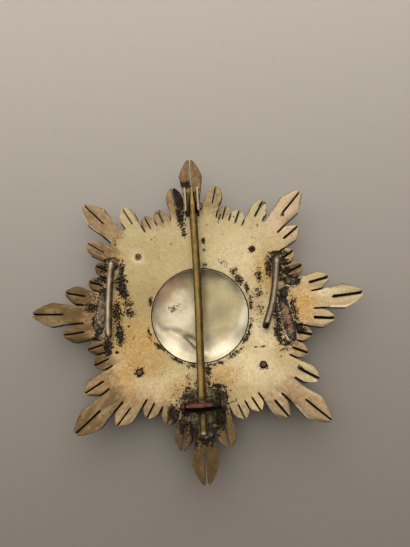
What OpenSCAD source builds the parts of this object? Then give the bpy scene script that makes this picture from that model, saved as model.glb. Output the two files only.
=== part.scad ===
// A vaulted breast star with forty hand-sawn rays, lying face down with its back up.
// Z = 0 is the surface it lies on, Y points to the top ray, and X to the right of the back.

/* [Star plate] */
// Distance from the centre to the tip of a main ray
star_r = 42.5; // [38:0.5:48]
// Height of the main tips above the middle of the plate
vault = 6; // [4:0.25:8]
// Thickness of the plate
plate_t = 1.5; // [1:0.1:2]
// Width of a saw cut
cut_w = 0.45; // [0.3:0.05:0.6]
// Height of the middle of the plate's back above the surface it lies on
back_z = 3.8; // [3.8:0.1:5]

/* [Centre dish] */
// Radius of the polished dish
dish_r = 13; // [11.5:0.05:13.5]
// Depth of the dish below its rim
dish_depth = 3.2; // [2:0.1:3.3]
// Wall of the dish
dish_t = 0.8; // [0.5:0.05:0.9]
// Offset of the dish to the right of the star's centre
dish_x = 0.4; // [-1:0.1:1]
// Offset of the dish towards the top ray
dish_y = -1.4; // [-2:0.1:1]

/* [Front badge] */
// Radius of the badge riveted to the front
badge_r = 25; // [24:0.5:26]
// Thickness of the badge
badge_t = 1.2; // [0.8:0.1:1.4]
// Outer radius of the raised ring that the star rests on
ring_r = 16; // [14.5:0.25:18]
// Distance from the badge's edge to the middle of each rivet
rivet_inset = 2.7; // [2.4:0.1:4]
// Radius of a rivet's shank
rivet_r = 0.6; // [0.4:0.05:0.8]
// Radius of a rivet's head
rivet_head_r = 0.95; // [0.9:0.05:1.4]
// Height of a rivet's head
rivet_head_h = 0.3; // [0.2:0.05:0.6]

/* [Pin and hinge] */
// Radius of the pin wire
pin_r = 1.05; // [0.8:0.05:1.1]
// Length of the pin from its hinge to its point
pin_l = 59.3; // [56:0.5:60]
// Length of the tapered end of the pin
pin_taper = 6; // [4:0.5:10]
// Height of the pin's axis above the middle of the plate's back
pin_rise = 4.95; // [4.9:0.05:5.5]
// Distance from the star's centre down to the hinge
hinge_y = 25.1; // [23:0.1:26]
// Outer radius of the hinge barrel on the pin
barrel_r = 1.1; // [1.1:0.05:1.3]
// Length of the hinge barrel
barrel_l = 8.6; // [6:0.1:9]
// Radius of the rod through the hinge
rod_r = 0.5; // [0.4:0.05:0.6]
// Thickness of a hinge ear
ear_t = 1.1; // [0.8:0.1:1.3]
// Radial clearance of a turning or riveted fit
fit = 0.05; // [0.03:0.01:0.08]
// Clearance between pieces that lie face to face
seat_gap = 0.1; // [0.05:0.01:0.15]
// Radius of the pin's point
point_r = 0.3; // [0.2:0.05:0.4]
// Width of metal that the ears have beyond the barrel
ear_over = 0.2; // [0.1:0.05:0.4]
// Length that the rod stands out of each ear
rod_out = 0.2; // [0.1:0.05:0.4]
// Length of the base under the hinge, along the pin
hinge_base_l = 9.7; // [7:0.1:10]
// Radius of the wire stub behind the hinge
tail_r = 0.8; // [0.6:0.05:0.9]
// Length of the wire stub
tail_l = 5.2; // [4:0.1:7]
// Clearance between the barrel and the wire stub
tail_gap = 0.3; // [0.2:0.05:0.6]

/* [Catch] */
// Distance from the star's centre up to the middle of the catch
catch_y = 30; // [28:0.1:31]
// Length of the catch along the pin
catch_l = 7.2; // [5:0.1:8]
// Thickness of the catch walls
catch_t = 0.5; // [0.4:0.05:0.7]
// Height of the catch walls above the plate
catch_h = 3.4; // [3:0.1:4]
// Clearance between the pin and each wall of the catch
catch_gap = 0.4; // [0.3:0.05:0.6]
// Clearance between the pin and the floor of the catch
catch_floor_gap = 0.3; // [0.2:0.05:0.5]

/* [Side hooks] */
// Radius of the hook wire
hook_r = 0.9; // [0.7:0.05:1.1]
// Height of the hook wire's axis above the plate
hook_h = 3; // [2.6:0.1:3.6]
// Radius of the bend from the hook's foot into its run
hook_bend_r = 1.9; // [1.5:0.1:2.2]
// Degrees that the hook's run rises away from the plate
hook_lift = 3; // [2:0.5:6]
// Length of the left hook
hook_left_l = 20.4; // [16:0.1:22]
// Left hook's foot, to the left of the star's centre
hook_left_x = 22.8; // [21:0.1:24]
// Left hook's foot, above the star's centre
hook_left_y = 13.5; // [11:0.1:15]
// Degrees that the left hook leans outwards
hook_left_turn = 2.2; // [0:0.1:6]
// Length of the right hook
hook_right_l = 19.1; // [15:0.1:21]
// Right hook's foot, to the right of the star's centre
hook_right_x = 22.1; // [21:0.1:24]
// Right hook's foot, above the star's centre
hook_right_y = 11.6; // [10:0.1:14]
// Degrees that the right hook leans inwards
hook_right_turn = 14.8; // [8:0.1:16]

/* [Solder] */
// Thickness of the solder pads
pad_t = 0.4; // [0.2:0.05:0.6]
// Length of a side solder strip
strip_l = 14.5; // [10:0.5:16]
// Width of a side solder strip
strip_w = 3.4; // [2.4:0.1:4]
// Left strip's middle, to the left of the star's centre
strip_left_x = 25.8; // [24:0.1:28]
// Left strip's middle, above the star's centre
strip_left_y = 1; // [-3:0.1:3]
// Degrees that the left strip leans
strip_left_turn = -6; // [-10:0.5:10]
// Right strip's middle, to the right of the star's centre
strip_right_x = 23.3; // [22:0.1:26]
// Right strip's middle, below the star's centre
strip_right_y = 4; // [0:0.1:6]
// Degrees that the right strip leans
strip_right_turn = 8; // [-10:0.5:10]

/* [Hidden] */
$fn = 96;

ray_count = 40;
ray_step = 360 / ray_count;
rays_per_arm = 5;

// The plate is a slice of a hollow ball: its back is a sphere of vault_r about vault_z
vault_r = (star_r * star_r + vault * vault) / (2 * vault);
vault_z = back_z + vault_r;
front_r = vault_r + plate_t;
vault_fn = 720;
round_fn = 48;

// Limits beyond the plate for the shapes that are cut to it
shell_r = star_r + plate_t;
tall = back_z + vault + hook_h;

// Depth that soldered pieces reach into the plate
bite = plate_t / 2;

// Kinds of ray
SMALL = 0;
FLANK = 1;
MAIN = 2;

// Order of the rays round one arm, clockwise
arm_kinds = [SMALL, FLANK, MAIN, FLANK, SMALL];

// Shares of star_r for each kind: reach of the tip, inner end of the middle slit,
// inner end of the cuts beside it
kind_reach = [0.714, 0.832, 1];
kind_slit = [0.617, 0.709, 0.825];
kind_cut = [0.614, 0.614, 0.707];

// Half outlines of the leaf-shaped rays beyond the hub: [along, across] in shares of star_r
small_leaf = [[0.62, 0.049], [0.665, 0.0475], [0.69, 0.038], [0.706, 0.022], [0.714, 0.009]];
flank_leaf = [[0.62, 0.049], [0.68, 0.0485], [0.76, 0.0565], [0.793, 0.047], [0.822, 0.025], [0.832, 0.011]];
main_leaf = [[0.62, 0.049], [0.765, 0.056], [0.83, 0.067], [0.895, 0.077], [0.945, 0.055], [0.985, 0.03], [1, 0.014]];
kind_leaf = [small_leaf, flank_leaf, main_leaf];
root_share = 0.5;
hub_share = 0.61;
tip_share = 0.04;

// Degrees that each tip leans clockwise, by hand: one row for each arm from the top, clockwise,
// with the small, flank, main, flank and small ray of that arm
tip_lean = [
    [-1.0, 0.2, 0.0, 2.6, 0.4],
    [-1.0, -1.5, 0.0, 0.3, -0.7],
    [-0.8, -0.1, -0.5, -0.1, -0.4],
    [-0.2, -0.9, 0.1, 0.6, -0.3],
    [-1.2, -0.5, 0.2, 0.1, -0.6],
    [0.4, 0.6, 0.9, 1.0, 0.5],
    [0.0, 0.2, 0.2, 0.6, -1.0],
    [-1.0, -2.2, 0.3, 2.3, 0.0]
];

rim_z = back_z + (dish_r * dish_r) / (2 * vault_r);
dish_ball_r = (dish_r * dish_r + dish_depth * dish_depth) / (2 * dish_depth);
dish_hole_r = dish_r + seat_gap;
ring_bore_r = dish_r - dish_t;
pin_z = back_z + pin_rise;
ear_x = barrel_l / 2 + seat_gap;
ear_r = barrel_r + ear_over;
hinge_base_w = 2 * (ear_x + ear_t);
catch_w = 2 * (pin_r + catch_gap + catch_t);
drop_r = 2 * hook_r;
rivet_l = plate_t + badge_t + 2 * seat_gap;
rivet_ring_r = badge_r - rivet_inset;

// Clockwise from the top ray: top left, top right, bottom left, bottom right
rivet_bearings = [-45, 45, -135, 135];

// Height of the plate's back at a distance from the centre
function back_at(r) = vault_z - sqrt(vault_r * vault_r - r * r);

// Kind and lean of a ray counted clockwise from the top ray
function arm_place(i) = (i + 2) % ray_count;
function ray_kind(i) = arm_kinds[arm_place(i) % rays_per_arm];
function ray_lean(i) = tip_lean[floor(arm_place(i) / rays_per_arm)][arm_place(i) % rays_per_arm];

function ray_reach(i) = kind_reach[ray_kind(i)];

// Sideways shift of a ray's middle line at a share of star_r along it: none at the hub, all at the tip
function shift_at(i, along) =
    ray_reach(i) * tan(ray_lean(i)) * max(0, along - root_share) / (ray_reach(i) - root_share);

// Middle of the cut between a ray and its neighbour, off the line halfway between the two
function cut_at(i, other, along) = (shift_at(i, along) + shift_at(other, along)) / 2;

// Inner and outer end of the cut between two rays, in shares of star_r
function cut_inner(i, other) = max(kind_cut[ray_kind(i)], kind_cut[ray_kind(other)]);
function cut_outer(i, other) = min(ray_reach(i), ray_reach(other)) - tip_share;

// Share of star_r across a ray where its cut ends it, beside a neighbour on one side of it (1 or -1)
function side_limit(i, other, side, along) =
    along > min(ray_reach(i), ray_reach(other)) ? 1
    : along * tan(ray_step / 2) + side * cut_at(i, other, along);

// One edge of a ray's leaf: no further over than the cut beside it
function leaf_edge(i, side) = [
    for (p = kind_leaf[ray_kind(i)])
        let (other = (i + side + ray_count) % ray_count)
        [side * min(p[1] + side * shift_at(i, p[0]), side_limit(i, other, side, p[0])), p[0]] * star_r
];

function reversed(list) = [for (i = [len(list) - 1 : -1 : 0]) list[i]];

module ray_leaf(i) {
    foot = root_share * star_r;
    foot_w = foot * tan(ray_step / 2) + cut_w;
    rotate(-i * ray_step)
        polygon(concat([[-foot_w, foot], [foot_w, foot]], leaf_edge(i, 1), reversed(leaf_edge(i, -1))));
}

// A strip between two shares of star_r along a ray, with the sideways shift at each
module strip(inner, outer, inner_shift, outer_shift, width) {
    translate([inner_shift * star_r, inner * star_r])
        rotate(-atan2(outer_shift - inner_shift, outer - inner))
            translate([-width / 2, 0])
                square([width, (outer - inner) * star_r]);
}

// A saw cut with a round inner end
module saw_cut(inner, outer, inner_shift, outer_shift) {
    strip(inner, outer, inner_shift, outer_shift, cut_w);
    translate([inner_shift * star_r, inner * star_r])
        circle(r = cut_w / 2, $fn = 16);
}

// The slit down the middle of a ray
module ray_slit(i) {
    inner = kind_slit[ray_kind(i)];
    outer = ray_reach(i) + tip_share;
    rotate(-i * ray_step)
        saw_cut(inner, outer, shift_at(i, inner), shift_at(i, outer));
}

// The cut between a ray and the next one clockwise
module side_cut(i) {
    next = (i + 1) % ray_count;
    inner = cut_inner(i, next);
    outer = cut_outer(i, next);
    rotate(-(i + 0.5) * ray_step)
        saw_cut(inner, outer, cut_at(i, next, inner), cut_at(i, next, outer));
}

// Uncut metal between a ray and the next one clockwise, from the hub to the cut's inner end
module side_web(i) {
    next = (i + 1) % ray_count;
    inner = cut_inner(i, next);
    spread = abs(shift_at(next, inner) - shift_at(i, inner)) * star_r;
    rotate(-(i + 0.5) * ray_step)
        strip(root_share, inner, 0, cut_at(i, next, inner), 2 * cut_w + spread);
}

module star_outline() {
    difference() {
        union() {
            circle(r = hub_share * star_r);
            for (i = [0 : ray_count - 1]) {
                ray_leaf(i);
                side_web(i);
            }
        }
        for (i = [0 : ray_count - 1]) {
            ray_slit(i);
            side_cut(i);
        }
    }
}

// The part of a hollow ball between two radii about the vault's centre, near the plate
module vault_shell(outer, inner) {
    rotate_extrude($fn = 180)
        intersection() {
            translate([0, vault_z])
                difference() {
                    circle(r = outer, $fn = vault_fn);
                    circle(r = inner, $fn = vault_fn);
                }
            square([shell_r, tall]);
        }
}

// Solder raised over the plate's back inside a flat outline
module raised(thickness) {
    intersection() {
        vault_shell(vault_r + bite, vault_r - thickness);
        linear_extrude(height = tall)
            children();
    }
}

// A strip with round ends, along Y
module stadium(length, width) {
    straight = length - width;
    square([width, straight], center = true);
    for (s = [-1, 1])
        translate([0, s * straight / 2])
            circle(d = width, $fn = round_fn);
}

// Puts a piece on the plate's back at x, y, with its own Z along the plate's normal
module on_back(x, y) {
    bearing = atan2(y, x);
    lean = asin(norm([x, y]) / vault_r);
    translate([0, 0, vault_z])
        rotate([0, 0, bearing])
            rotate([0, -lean, 0])
                translate([0, 0, -vault_r])
                    rotate([0, 0, -bearing])
                        children();
}

// A wire hook: foot in the plate at its origin, bend, and a run towards -Y
module hook_wire(length) {
    bend_z = hook_h - hook_bend_r;
    translate([0, 0, -bite])
        cylinder(r = hook_r, h = bend_z + bite, $fn = round_fn);
    translate([0, -hook_bend_r, bend_z])
        rotate([90, 0, 90])
            rotate_extrude(angle = 90)
                translate([hook_bend_r, 0])
                    circle(r = hook_r, $fn = round_fn);
    translate([0, -hook_bend_r, hook_h])
        rotate([90, 0, 0])
            cylinder(r = hook_r, h = length - hook_bend_r, $fn = round_fn);
}

module hook_left() {
    color("rosybrown")
        on_back(-hook_left_x, hook_left_y)
            rotate([-hook_lift, 0, -hook_left_turn])
                hook_wire(hook_left_l);
}

module hook_right() {
    color("rosybrown")
        on_back(hook_right_x, hook_right_y)
            rotate([-hook_lift, 0, -hook_right_turn])
                hook_wire(hook_right_l);
}

// Solder strip outside a hook
module solder_strip(x, y, turn) {
    color("sienna")
        raised(pad_t)
            translate([x, y])
                rotate(turn)
                    stadium(strip_l, strip_w);
}

// Drop of solder round a hook's foot
module solder_drop(x, y) {
    color("sienna")
        raised(pad_t)
            translate([x, y])
                circle(r = drop_r, $fn = round_fn);
}

// Base, two ears and the wire stub behind the hinge
module hinge_seat() {
    ear_foot = back_at(hinge_y) - bite;
    tail_y = hinge_y + barrel_r + tail_gap;
    color("dimgray")
        raised(pad_t)
            translate([0, -hinge_y])
                square([hinge_base_w, hinge_base_l], center = true);
    color("sienna")
        for (s = [-1, 1])
            difference() {
                translate([s * (ear_x + ear_t / 2), -hinge_y, 0])
                    union() {
                        translate([0, 0, (ear_foot + pin_z) / 2])
                            cube([ear_t, 2 * ear_r, pin_z - ear_foot], center = true);
                        translate([0, 0, pin_z])
                            rotate([0, 90, 0])
                                cylinder(r = ear_r, h = ear_t, center = true);
                    }
                translate([0, -hinge_y, pin_z])
                    rotate([0, 90, 0])
                        cylinder(r = rod_r + fit, h = 2 * hinge_base_w, center = true);
            }
    color("goldenrod")
        translate([0, -tail_y, back_at(tail_y) + tail_r])
            rotate([90 - asin(hinge_y / vault_r), 0, 0])
                union() {
                    cylinder(r = tail_r, h = tail_l, $fn = round_fn);
                    translate([0, 0, tail_l])
                        sphere(r = tail_r, $fn = round_fn);
                }
}

// Open channel that the end of the pin drops into
module catch() {
    floor_z = back_at(catch_y - catch_l / 2) - bite / 2;
    top_z = back_at(catch_y) + catch_h;
    color("tan")
        difference() {
            translate([-catch_w / 2, catch_y - catch_l / 2, floor_z])
                cube([catch_w, catch_l, top_z - floor_z]);
            translate([-catch_w / 2 + catch_t, catch_y - catch_l, pin_z - pin_r - catch_floor_gap])
                cube([catch_w - 2 * catch_t, 2 * catch_l, tall]);
        }
}

// The rayed plate with everything that is soldered to its back
module star_plate() {
    color("darkkhaki")
        difference() {
            intersection() {
                vault_shell(front_r, vault_r);
                linear_extrude(height = tall)
                    star_outline();
            }
            translate([dish_x, dish_y, 0])
                cylinder(r = dish_hole_r, h = tall);
            rivet_holes();
        }
    hook_left();
    hook_right();
    solder_drop(-hook_left_x, hook_left_y);
    solder_drop(hook_right_x, hook_right_y);
    solder_strip(-strip_left_x, strip_left_y, strip_left_turn);
    solder_strip(strip_right_x, -strip_right_y, strip_right_turn);
    hinge_seat();
    catch();
}

module rivet_holes() {
    for (b = rivet_bearings)
        on_back(rivet_ring_r * sin(b), rivet_ring_r * cos(b))
            cylinder(r = rivet_r + fit, h = 4 * rivet_l, center = true, $fn = round_fn);
}

// A ball about the centre of the dish's curve
module dish_ball(radius) {
    translate([0, 0, rim_z - dish_depth + dish_ball_r])
        sphere(r = radius, $fn = 240);
}

// Polished dish in the middle, with a straight collar through the plate
module centre_dish() {
    collar_h = plate_t - 2 * seat_gap;
    color("silver")
        translate([dish_x, dish_y, 0]) {
            difference() {
                translate([0, 0, rim_z - collar_h])
                    cylinder(r = dish_r, h = collar_h);
                dish_ball(dish_ball_r + dish_t / 2);
            }
            intersection() {
                difference() {
                    dish_ball(dish_ball_r + dish_t);
                    dish_ball(dish_ball_r);
                }
                cylinder(r = dish_r, h = rim_z);
            }
        }
}

// Plain vaulted badge on the hidden front, with the raised ring that the star rests on
module front_badge() {
    color("gold")
        difference() {
            union() {
                intersection() {
                    vault_shell(front_r + seat_gap + badge_t, front_r + seat_gap);
                    cylinder(r = badge_r, h = tall);
                }
                difference() {
                    translate([dish_x, dish_y, 0])
                        cylinder(r = ring_r, h = back_at(0));
                    translate([0, 0, vault_z])
                        sphere(r = front_r + seat_gap, $fn = vault_fn);
                }
            }
            translate([dish_x, dish_y, -seat_gap])
                cylinder(r = ring_bore_r, h = tall);
            rivet_holes();
        }
}

// One rivet through the plate and the badge, along the plate's normal
module rivet(bearing) {
    color("saddlebrown")
        on_back(rivet_ring_r * sin(bearing), rivet_ring_r * cos(bearing)) {
            translate([0, 0, -rivet_l])
                cylinder(r = rivet_r, h = rivet_l + seat_gap + rivet_head_h, $fn = round_fn);
            translate([0, 0, seat_gap])
                cylinder(r = rivet_head_r, h = rivet_head_h, $fn = round_fn);
            translate([0, 0, -rivet_l - rivet_head_h])
                cylinder(r = rivet_head_r, h = rivet_head_h, $fn = round_fn);
        }
}

module rivet_top_left() {
    rivet(rivet_bearings[0]);
}

module rivet_top_right() {
    rivet(rivet_bearings[1]);
}

module rivet_bottom_left() {
    rivet(rivet_bearings[2]);
}

module rivet_bottom_right() {
    rivet(rivet_bearings[3]);
}

// Rod through the ears and the barrel
module hinge_rod() {
    color("peru")
        translate([0, -hinge_y, pin_z])
            rotate([0, 90, 0])
                cylinder(r = rod_r, h = hinge_base_w + 2 * rod_out, center = true, $fn = round_fn);
}

// Pin wire soldered to its barrel
module brooch_pin() {
    straight = pin_l - pin_taper;
    color("peru")
        translate([0, -hinge_y, pin_z])
            difference() {
                union() {
                    rotate([0, 90, 0])
                        cylinder(r = barrel_r, h = barrel_l, center = true);
                    rotate([-90, 0, 0])
                        cylinder(r = pin_r, h = straight);
                    translate([0, straight, 0])
                        rotate([-90, 0, 0])
                            cylinder(r1 = pin_r, r2 = point_r, h = pin_taper);
                }
                rotate([0, 90, 0])
                    cylinder(r = rod_r + fit, h = 2 * barrel_l, center = true);
            }
}

star_plate();
centre_dish();
front_badge();
rivet_top_left();
rivet_top_right();
rivet_bottom_left();
rivet_bottom_right();
hinge_rod();
brooch_pin();
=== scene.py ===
"""Breast star lying face down: the visible pieces, their finishes, the light and the camera."""

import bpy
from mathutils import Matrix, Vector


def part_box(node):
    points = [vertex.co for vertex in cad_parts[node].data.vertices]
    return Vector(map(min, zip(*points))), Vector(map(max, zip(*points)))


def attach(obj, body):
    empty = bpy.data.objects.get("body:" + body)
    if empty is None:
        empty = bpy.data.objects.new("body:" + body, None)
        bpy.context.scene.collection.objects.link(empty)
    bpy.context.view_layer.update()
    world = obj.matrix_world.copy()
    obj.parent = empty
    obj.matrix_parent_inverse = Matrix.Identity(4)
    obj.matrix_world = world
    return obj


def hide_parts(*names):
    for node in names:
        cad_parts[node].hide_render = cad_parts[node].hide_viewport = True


bl_info = {
    "name": "Breast Star",
    "version": (1, 0, 0),
    "blender": (4, 5, 0),
    "location": "View3D > Sidebar > Breast Star",
    "description": "Builds the back of a gilt breast star with its pin, hinge, catch and hooks",
    "category": "Add Mesh",
}

from math import asin, atan2, cos, degrees, hypot, pi, radians, sin, sqrt, tan

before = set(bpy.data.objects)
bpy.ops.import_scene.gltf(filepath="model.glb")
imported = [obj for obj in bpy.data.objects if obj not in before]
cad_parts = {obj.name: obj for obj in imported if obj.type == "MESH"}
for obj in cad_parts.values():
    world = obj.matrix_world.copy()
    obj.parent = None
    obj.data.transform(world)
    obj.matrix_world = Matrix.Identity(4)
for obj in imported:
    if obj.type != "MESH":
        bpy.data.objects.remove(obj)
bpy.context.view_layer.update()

import bmesh
import bpy
import numpy as np
from mathutils import Matrix, Vector, noise

MM = 0.001


def solid_size(node):
    """Middle and half size of one of the part's solids, in mm to two decimals."""
    low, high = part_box(node)
    middle = [round((a + b) / 2 / MM, 2) for a, b in zip(low, high)]
    half = [round((b - a) / 2 / MM, 2) for a, b in zip(low, high)]
    return middle, half


# Sizes and places in mm that the solids give

STAR_RADIUS = solid_size("star_plate")[1][0]
DISH_MIDDLE, DISH_HALF = solid_size("centre_dish")
BADGE_RADIUS = solid_size("front_badge")[1][0]
HINGE_Y, HINGE_Z = solid_size("hinge_rod")[0][1:]
PIN_MIDDLE, PIN_HALF = solid_size("brooch_pin")
BARREL_HALF = PIN_HALF[0]
PIN_END = PIN_MIDDLE[1] + PIN_HALF[1]

# Rays, numbered clockwise from the top; every arm has five of them, of three kinds

RAY_COUNT = 40
RAY_STEP = 360 / RAY_COUNT
RAYS_PER_ARM = 5
SMALL, FLANK, MAIN = 0, 1, 2
ARM_KINDS = (SMALL, FLANK, MAIN, FLANK, SMALL)

# Half outline of the small, flank and main ray beyond the hub: (along, across), in shares of the radius
KIND_LEAF = (
    ((0.615, 0.049), (0.665, 0.0475), (0.69, 0.038), (0.706, 0.022), (0.714, 0.009)),
    ((0.615, 0.049), (0.68, 0.0485), (0.765, 0.0565), (0.793, 0.047), (0.823, 0.025), (0.832, 0.011)),
    ((0.615, 0.049), (0.765, 0.056), (0.832, 0.067), (0.895, 0.077), (0.945, 0.055), (0.985, 0.03),
     (1.0, 0.014)),
)

# Shares at which each kind's middle slit starts, and at which the cuts beside it may start
KIND_SLIT = (0.615, 0.706, 0.823)
KIND_CUT = (0.615, 0.615, 0.706)

# Shares where the rows along a ray start, and by which a cut ends before the shorter ray's tip
ROOT_SHARE = 0.5
TIP_SHARE = 0.04

# Shares along a ray where its outline or a cut changes; rows of the mesh are spaced between them
KEY_SHARES = (0.5, 0.615, 0.665, 0.69, 0.706, 0.714, 0.765, 0.793, 0.823, 0.832, 0.895, 0.945, 0.985, 1.0)
ROW_SPACING = 0.0125

# Degrees that each tip leans clockwise: one row for each arm from the top, clockwise
TIP_LEAN = (
    (-1.0, 0.2, 0.0, 2.6, 0.4),
    (-1.0, -1.5, 0.0, 0.3, -0.7),
    (-0.8, -0.1, -0.5, -0.1, -0.4),
    (-0.2, -0.9, 0.1, 0.6, -0.3),
    (-1.2, -0.5, 0.2, 0.1, -0.6),
    (0.4, 0.6, 0.9, 1.0, 0.5),
    (0.0, 0.2, 0.2, 0.6, -1.0),
    (-1.0, -2.2, 0.3, 2.3, 0.0),
)

# How brown each ray is, in the same rows; the highest amounts, as on the bottom arm, also stand for painted
# shade
RAY_BROWN = (
    (0.65, 0.55, 0.90, 0.40, 0.30),
    (0.00, 0.00, 0.05, 0.10, 0.30),
    (1.20, 0.00, 0.05, 0.00, 0.45),
    (0.50, 0.20, 0.45, 0.35, 0.00),
    (0.30, 1.35, 1.95, 1.75, 0.90),
    (0.55, 0.50, 1.20, 0.70, 1.50),
    (1.70, 1.40, 1.35, 1.50, 1.70),
    (1.50, 0.95, 0.50, 0.05, 0.45),
)

# Width in mm of the slits that weren't sawn to the usual width, by ray
SLIT_WIDTHS = {
    0: 0.3, 3: 0.6, 4: 0.6, 5: 0.5, 6: 0.65, 7: 0.65, 8: 0.7, 9: 0.8, 10: 0.85, 11: 0.8, 12: 0.75,
    13: 0.65, 14: 0.75, 15: 0.5, 16: 0.6, 24: 0.4, 25: 0.5, 34: 0.4, 36: 0.4,
}

# In mm: half the gap between two rays past their cut, and the gap between the dish and its hole
TIP_GAP = 0.05
HOLE_PLAY = 0.1

# Share of a saw cut's width by which it is narrower at the front, and the rays whose cuts stay wide
UNDERCUT = 0.8
OPEN_CUTS = (0, 18, 19, 20, 21, 22, 34)

# Middle of the hollow hammered round the top left rivet, in mm
HOLLOW = (-15.8, 15.6)

# Roundness of a cake of solder: 2 is an ellipse, more is squarer
CAKE_POWER = 2.6

# Stains on the plate's back, with some painted shade and painted highlight among them, in mm from the star's
# centre:
# (x, y, half width, half height, degrees turned, strength)
BLACK_SPOTS = (
    #     Left hook and the rays outside it; the spots beside the hook also paint its shadow
    (-22.8, 14.9, 1.9, 0.7, 0, 1.1), (-20.4, 12, 0.9, 2.2, -12, 0.85), (-20.6, 8, 1.6, 3, 0, 0.95),
    (-19.6, 5, 1.4, 1.8, 0, 0.88), (-18.6, 2.6, 1.5, 1.3, 0, 0.72), (-18.4, 0.2, 1.9, 1.3, -15, 0.76),
    (-21.6, 0, 1.4, 3.4, 0, 0.9), (-21.2, -3.6, 0.8, 2.4, 0, 0.8), (-20.7, -6, 1.2, 2.5, 6, 0.95),
    (-21.6, -10.3, 0.4, 0.5, 0, 1.1), (-18.6, -3.6, 0.4, 0.3, 0, 0.9), (-17.4, -6.7, 0.25, 0.8, 0, 0.7),
    (-24.8, 12.6, 1.8, 1.6, 20, 0.8), (-25.2, 9.6, 2.2, 1.7, 0, 0.75), (-25.2, 6.4, 1.6, 1.6, 0, 0.7),
    (-28.2, 1.8, 1.6, 1.7, 0, 1), (-27.3, -2, 0.8, 2.2, 0, 0.85), (-26.6, -6.3, 1.2, 1.1, 0, 0.9),
    (-23.8, -8.9, 1.1, 2.1, 0, 1.15), (-24.2, -5.2, 1, 2, 0, 0.7), (-25.8, 1.2, 1.6, 6, 0, 0.6),
    (-27.6, 1.2, 1.2, 6.2, -4, 0.5), (-24, 2, 0.5, 7, -4, 0.5),
    # Round the dish
    (-12.8, 2.9, 0.5, 1.2, 0, 1.05), (-13.2, -5.8, 0.4, 1.8, 15, 0.8), (-10.6, -9.4, 0.5, 2.2, 48, 0.95),
    (-6.4, -13.1, 2.1, 0.5, -28, 0.88), (-2.4, -14.8, 2, 0.7, 0, 0.85), (-10.5, -16.4, 0.4, 0.3, 0, 0.7),
    (10.3, 9.8, 1.2, 1.1, 0, 0.8), (11.6, 7.6, 1, 1.7, 40, 0.95), (13.4, 5, 0.7, 2, 15, 0.88),
    (14.1, 0.6, 0.5, 2.4, 0, 0.8), (13.6, -5, 0.55, 2.2, -14, 0.85), (12.3, -8.2, 0.7, 1.8, -35, 0.9),
    (8.8, -12.4, 2.2, 0.6, 30, 0.88), (4, -14.6, 2.8, 0.6, 8, 0.82), (-12, 6, 0.4, 1.4, -25, 0.5),
    # Between the dish and the right hook, and the rays outside it
    (16.9, 8, 1.1, 2, 0, 0.8), (16.4, 3.6, 1.6, 1.9, 0, 0.68), (16.6, -1, 1.3, 1.9, 0, 0.6),
    (15.7, -4.6, 0.6, 1.4, 0, 0.45), (19.9, 10.4, 1, 3, 0, 0.95), (21.9, 14, 1.5, 0.7, 0, 0.95),
    (23.6, 13.4, 1.6, 0.9, 25, 0.95), (23.8, 11, 1.6, 1.3, 20, 0.9), (24.6, 8.6, 1.7, 1.2, 10, 0.95),
    (25, 5.9, 2.4, 1.5, 0, 1), (22.8, 8.6, 1, 3.6, 0, 0.9), (22.8, 2.4, 1.2, 2.2, 0, 1),
    (20.7, -0.8, 0.7, 4.2, -4, 0.75), (20.4, -7.6, 1.1, 2.9, 0, 0.98), (21.2, -9.9, 1.2, 0.8, 0, 0.95),
    (25.3, 0.4, 0.8, 1.4, 0, 0.75), (25.5, -3, 0.9, 2, 0, 0.7), (25.9, -7, 2, 1.1, -22, 1.1),
    (22.3, -2, 1.4, 6.5, -8, 0.6), (20.7, -4, 0.9, 5.5, 6, 0.9), (25.2, -3, 0.9, 5, 6, 0.8),
    (22.6, -10.8, 1.8, 0.8, 0, 0.9), (23.4, 3.6, 1.4, 1.2, 0, 0.9), (14.3, -11.1, 0.5, 0.3, 0, 0.9),
    (16.2, -11.1, 0.9, 0.3, 0, 0.8), (20.8, -12.5, 0.4, 0.4, 0, 0.8), (17.2, 6, 3, 4.5, 0, 0.35),
    (22, -12.4, 2.2, 0.5, 0, 0.5),
    # Above the dish, beside the pin and the catch
    (-4.1, 32.2, 0.65, 3.4, 12, 1.6), (-3.6, 26.2, 1, 3.6, 12, 0.98), (-2.9, 21.9, 0.7, 1.6, 12, 0.7),
    (-1.7, 35.5, 1.9, 1, 0, 0.95), (-2.9, 31, 0.5, 4, 4, 1), (2.6, 31, 0.5, 3.4, 0, 0.8),
    (2.5, 19.3, 0.6, 0.8, 0, 0.95), (2.5, 16.5, 0.5, 0.4, 0, 0.85), (3.9, 23.8, 0.4, 0.3, 0, 0.85),
    (2.2, 12.6, 1.4, 1, 0, 0.55), (7.4, 25.6, 0.5, 1.5, -15, 0.7), (8, 12.4, 1.6, 0.8, -30, 0.5),
    # Hinge
    (-3.2, -18, 1.2, 1, 0, 0.6), (-3.2, -20.6, 1.6, 0.9, 0, 0.7), (1.6, -16.2, 1.1, 1.6, 0, 0.85),
    (1.5, -19, 1, 1.4, 0, 0.65), (4.2, -20.4, 2.2, 0.7, -12, 0.95), (0, -25.5, 6, 5.4, 0, 0.95),
    (-7.6, -26.3, 1.3, 2.1, 10, 1), (-5.2, -29.4, 1.2, 2.6, 8, 0.95), (-2.6, -31.6, 0.9, 2.8, 0, 1.1),
    (0.6, -31.8, 2.4, 2.2, 0, 1.15), (4, -29.2, 1.6, 1.8, 0, 0.9), (5.6, -23.8, 0.9, 2.6, 0, 0.85),
    # Rivets
    (-15.8, 15.6, 0.9, 0.9, 0, 0.5), (15.8, 15.6, 1.15, 1.15, 0, 0.6), (-15.8, -15.7, 1.05, 1.05, 0, 1.1),
    (15.8, -15.9, 1.05, 1.05, 0, 1.1),
    # Ends of the rays
    (20.2, 28.6, 1.3, 0.6, 30, 0.75), (19, 27.6, 0.6, 0.9, 0, 0.7), (27.9, 11.9, 1.3, 0.6, 25, 0.6),
    (24.8, 24.4, 0.5, 0.4, 0, 1), (24.8, -17.3, 0.6, 0.6, 0, 1), (-22.2, 19.6, 1.2, 0.8, 40, 0.6),
)

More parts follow.
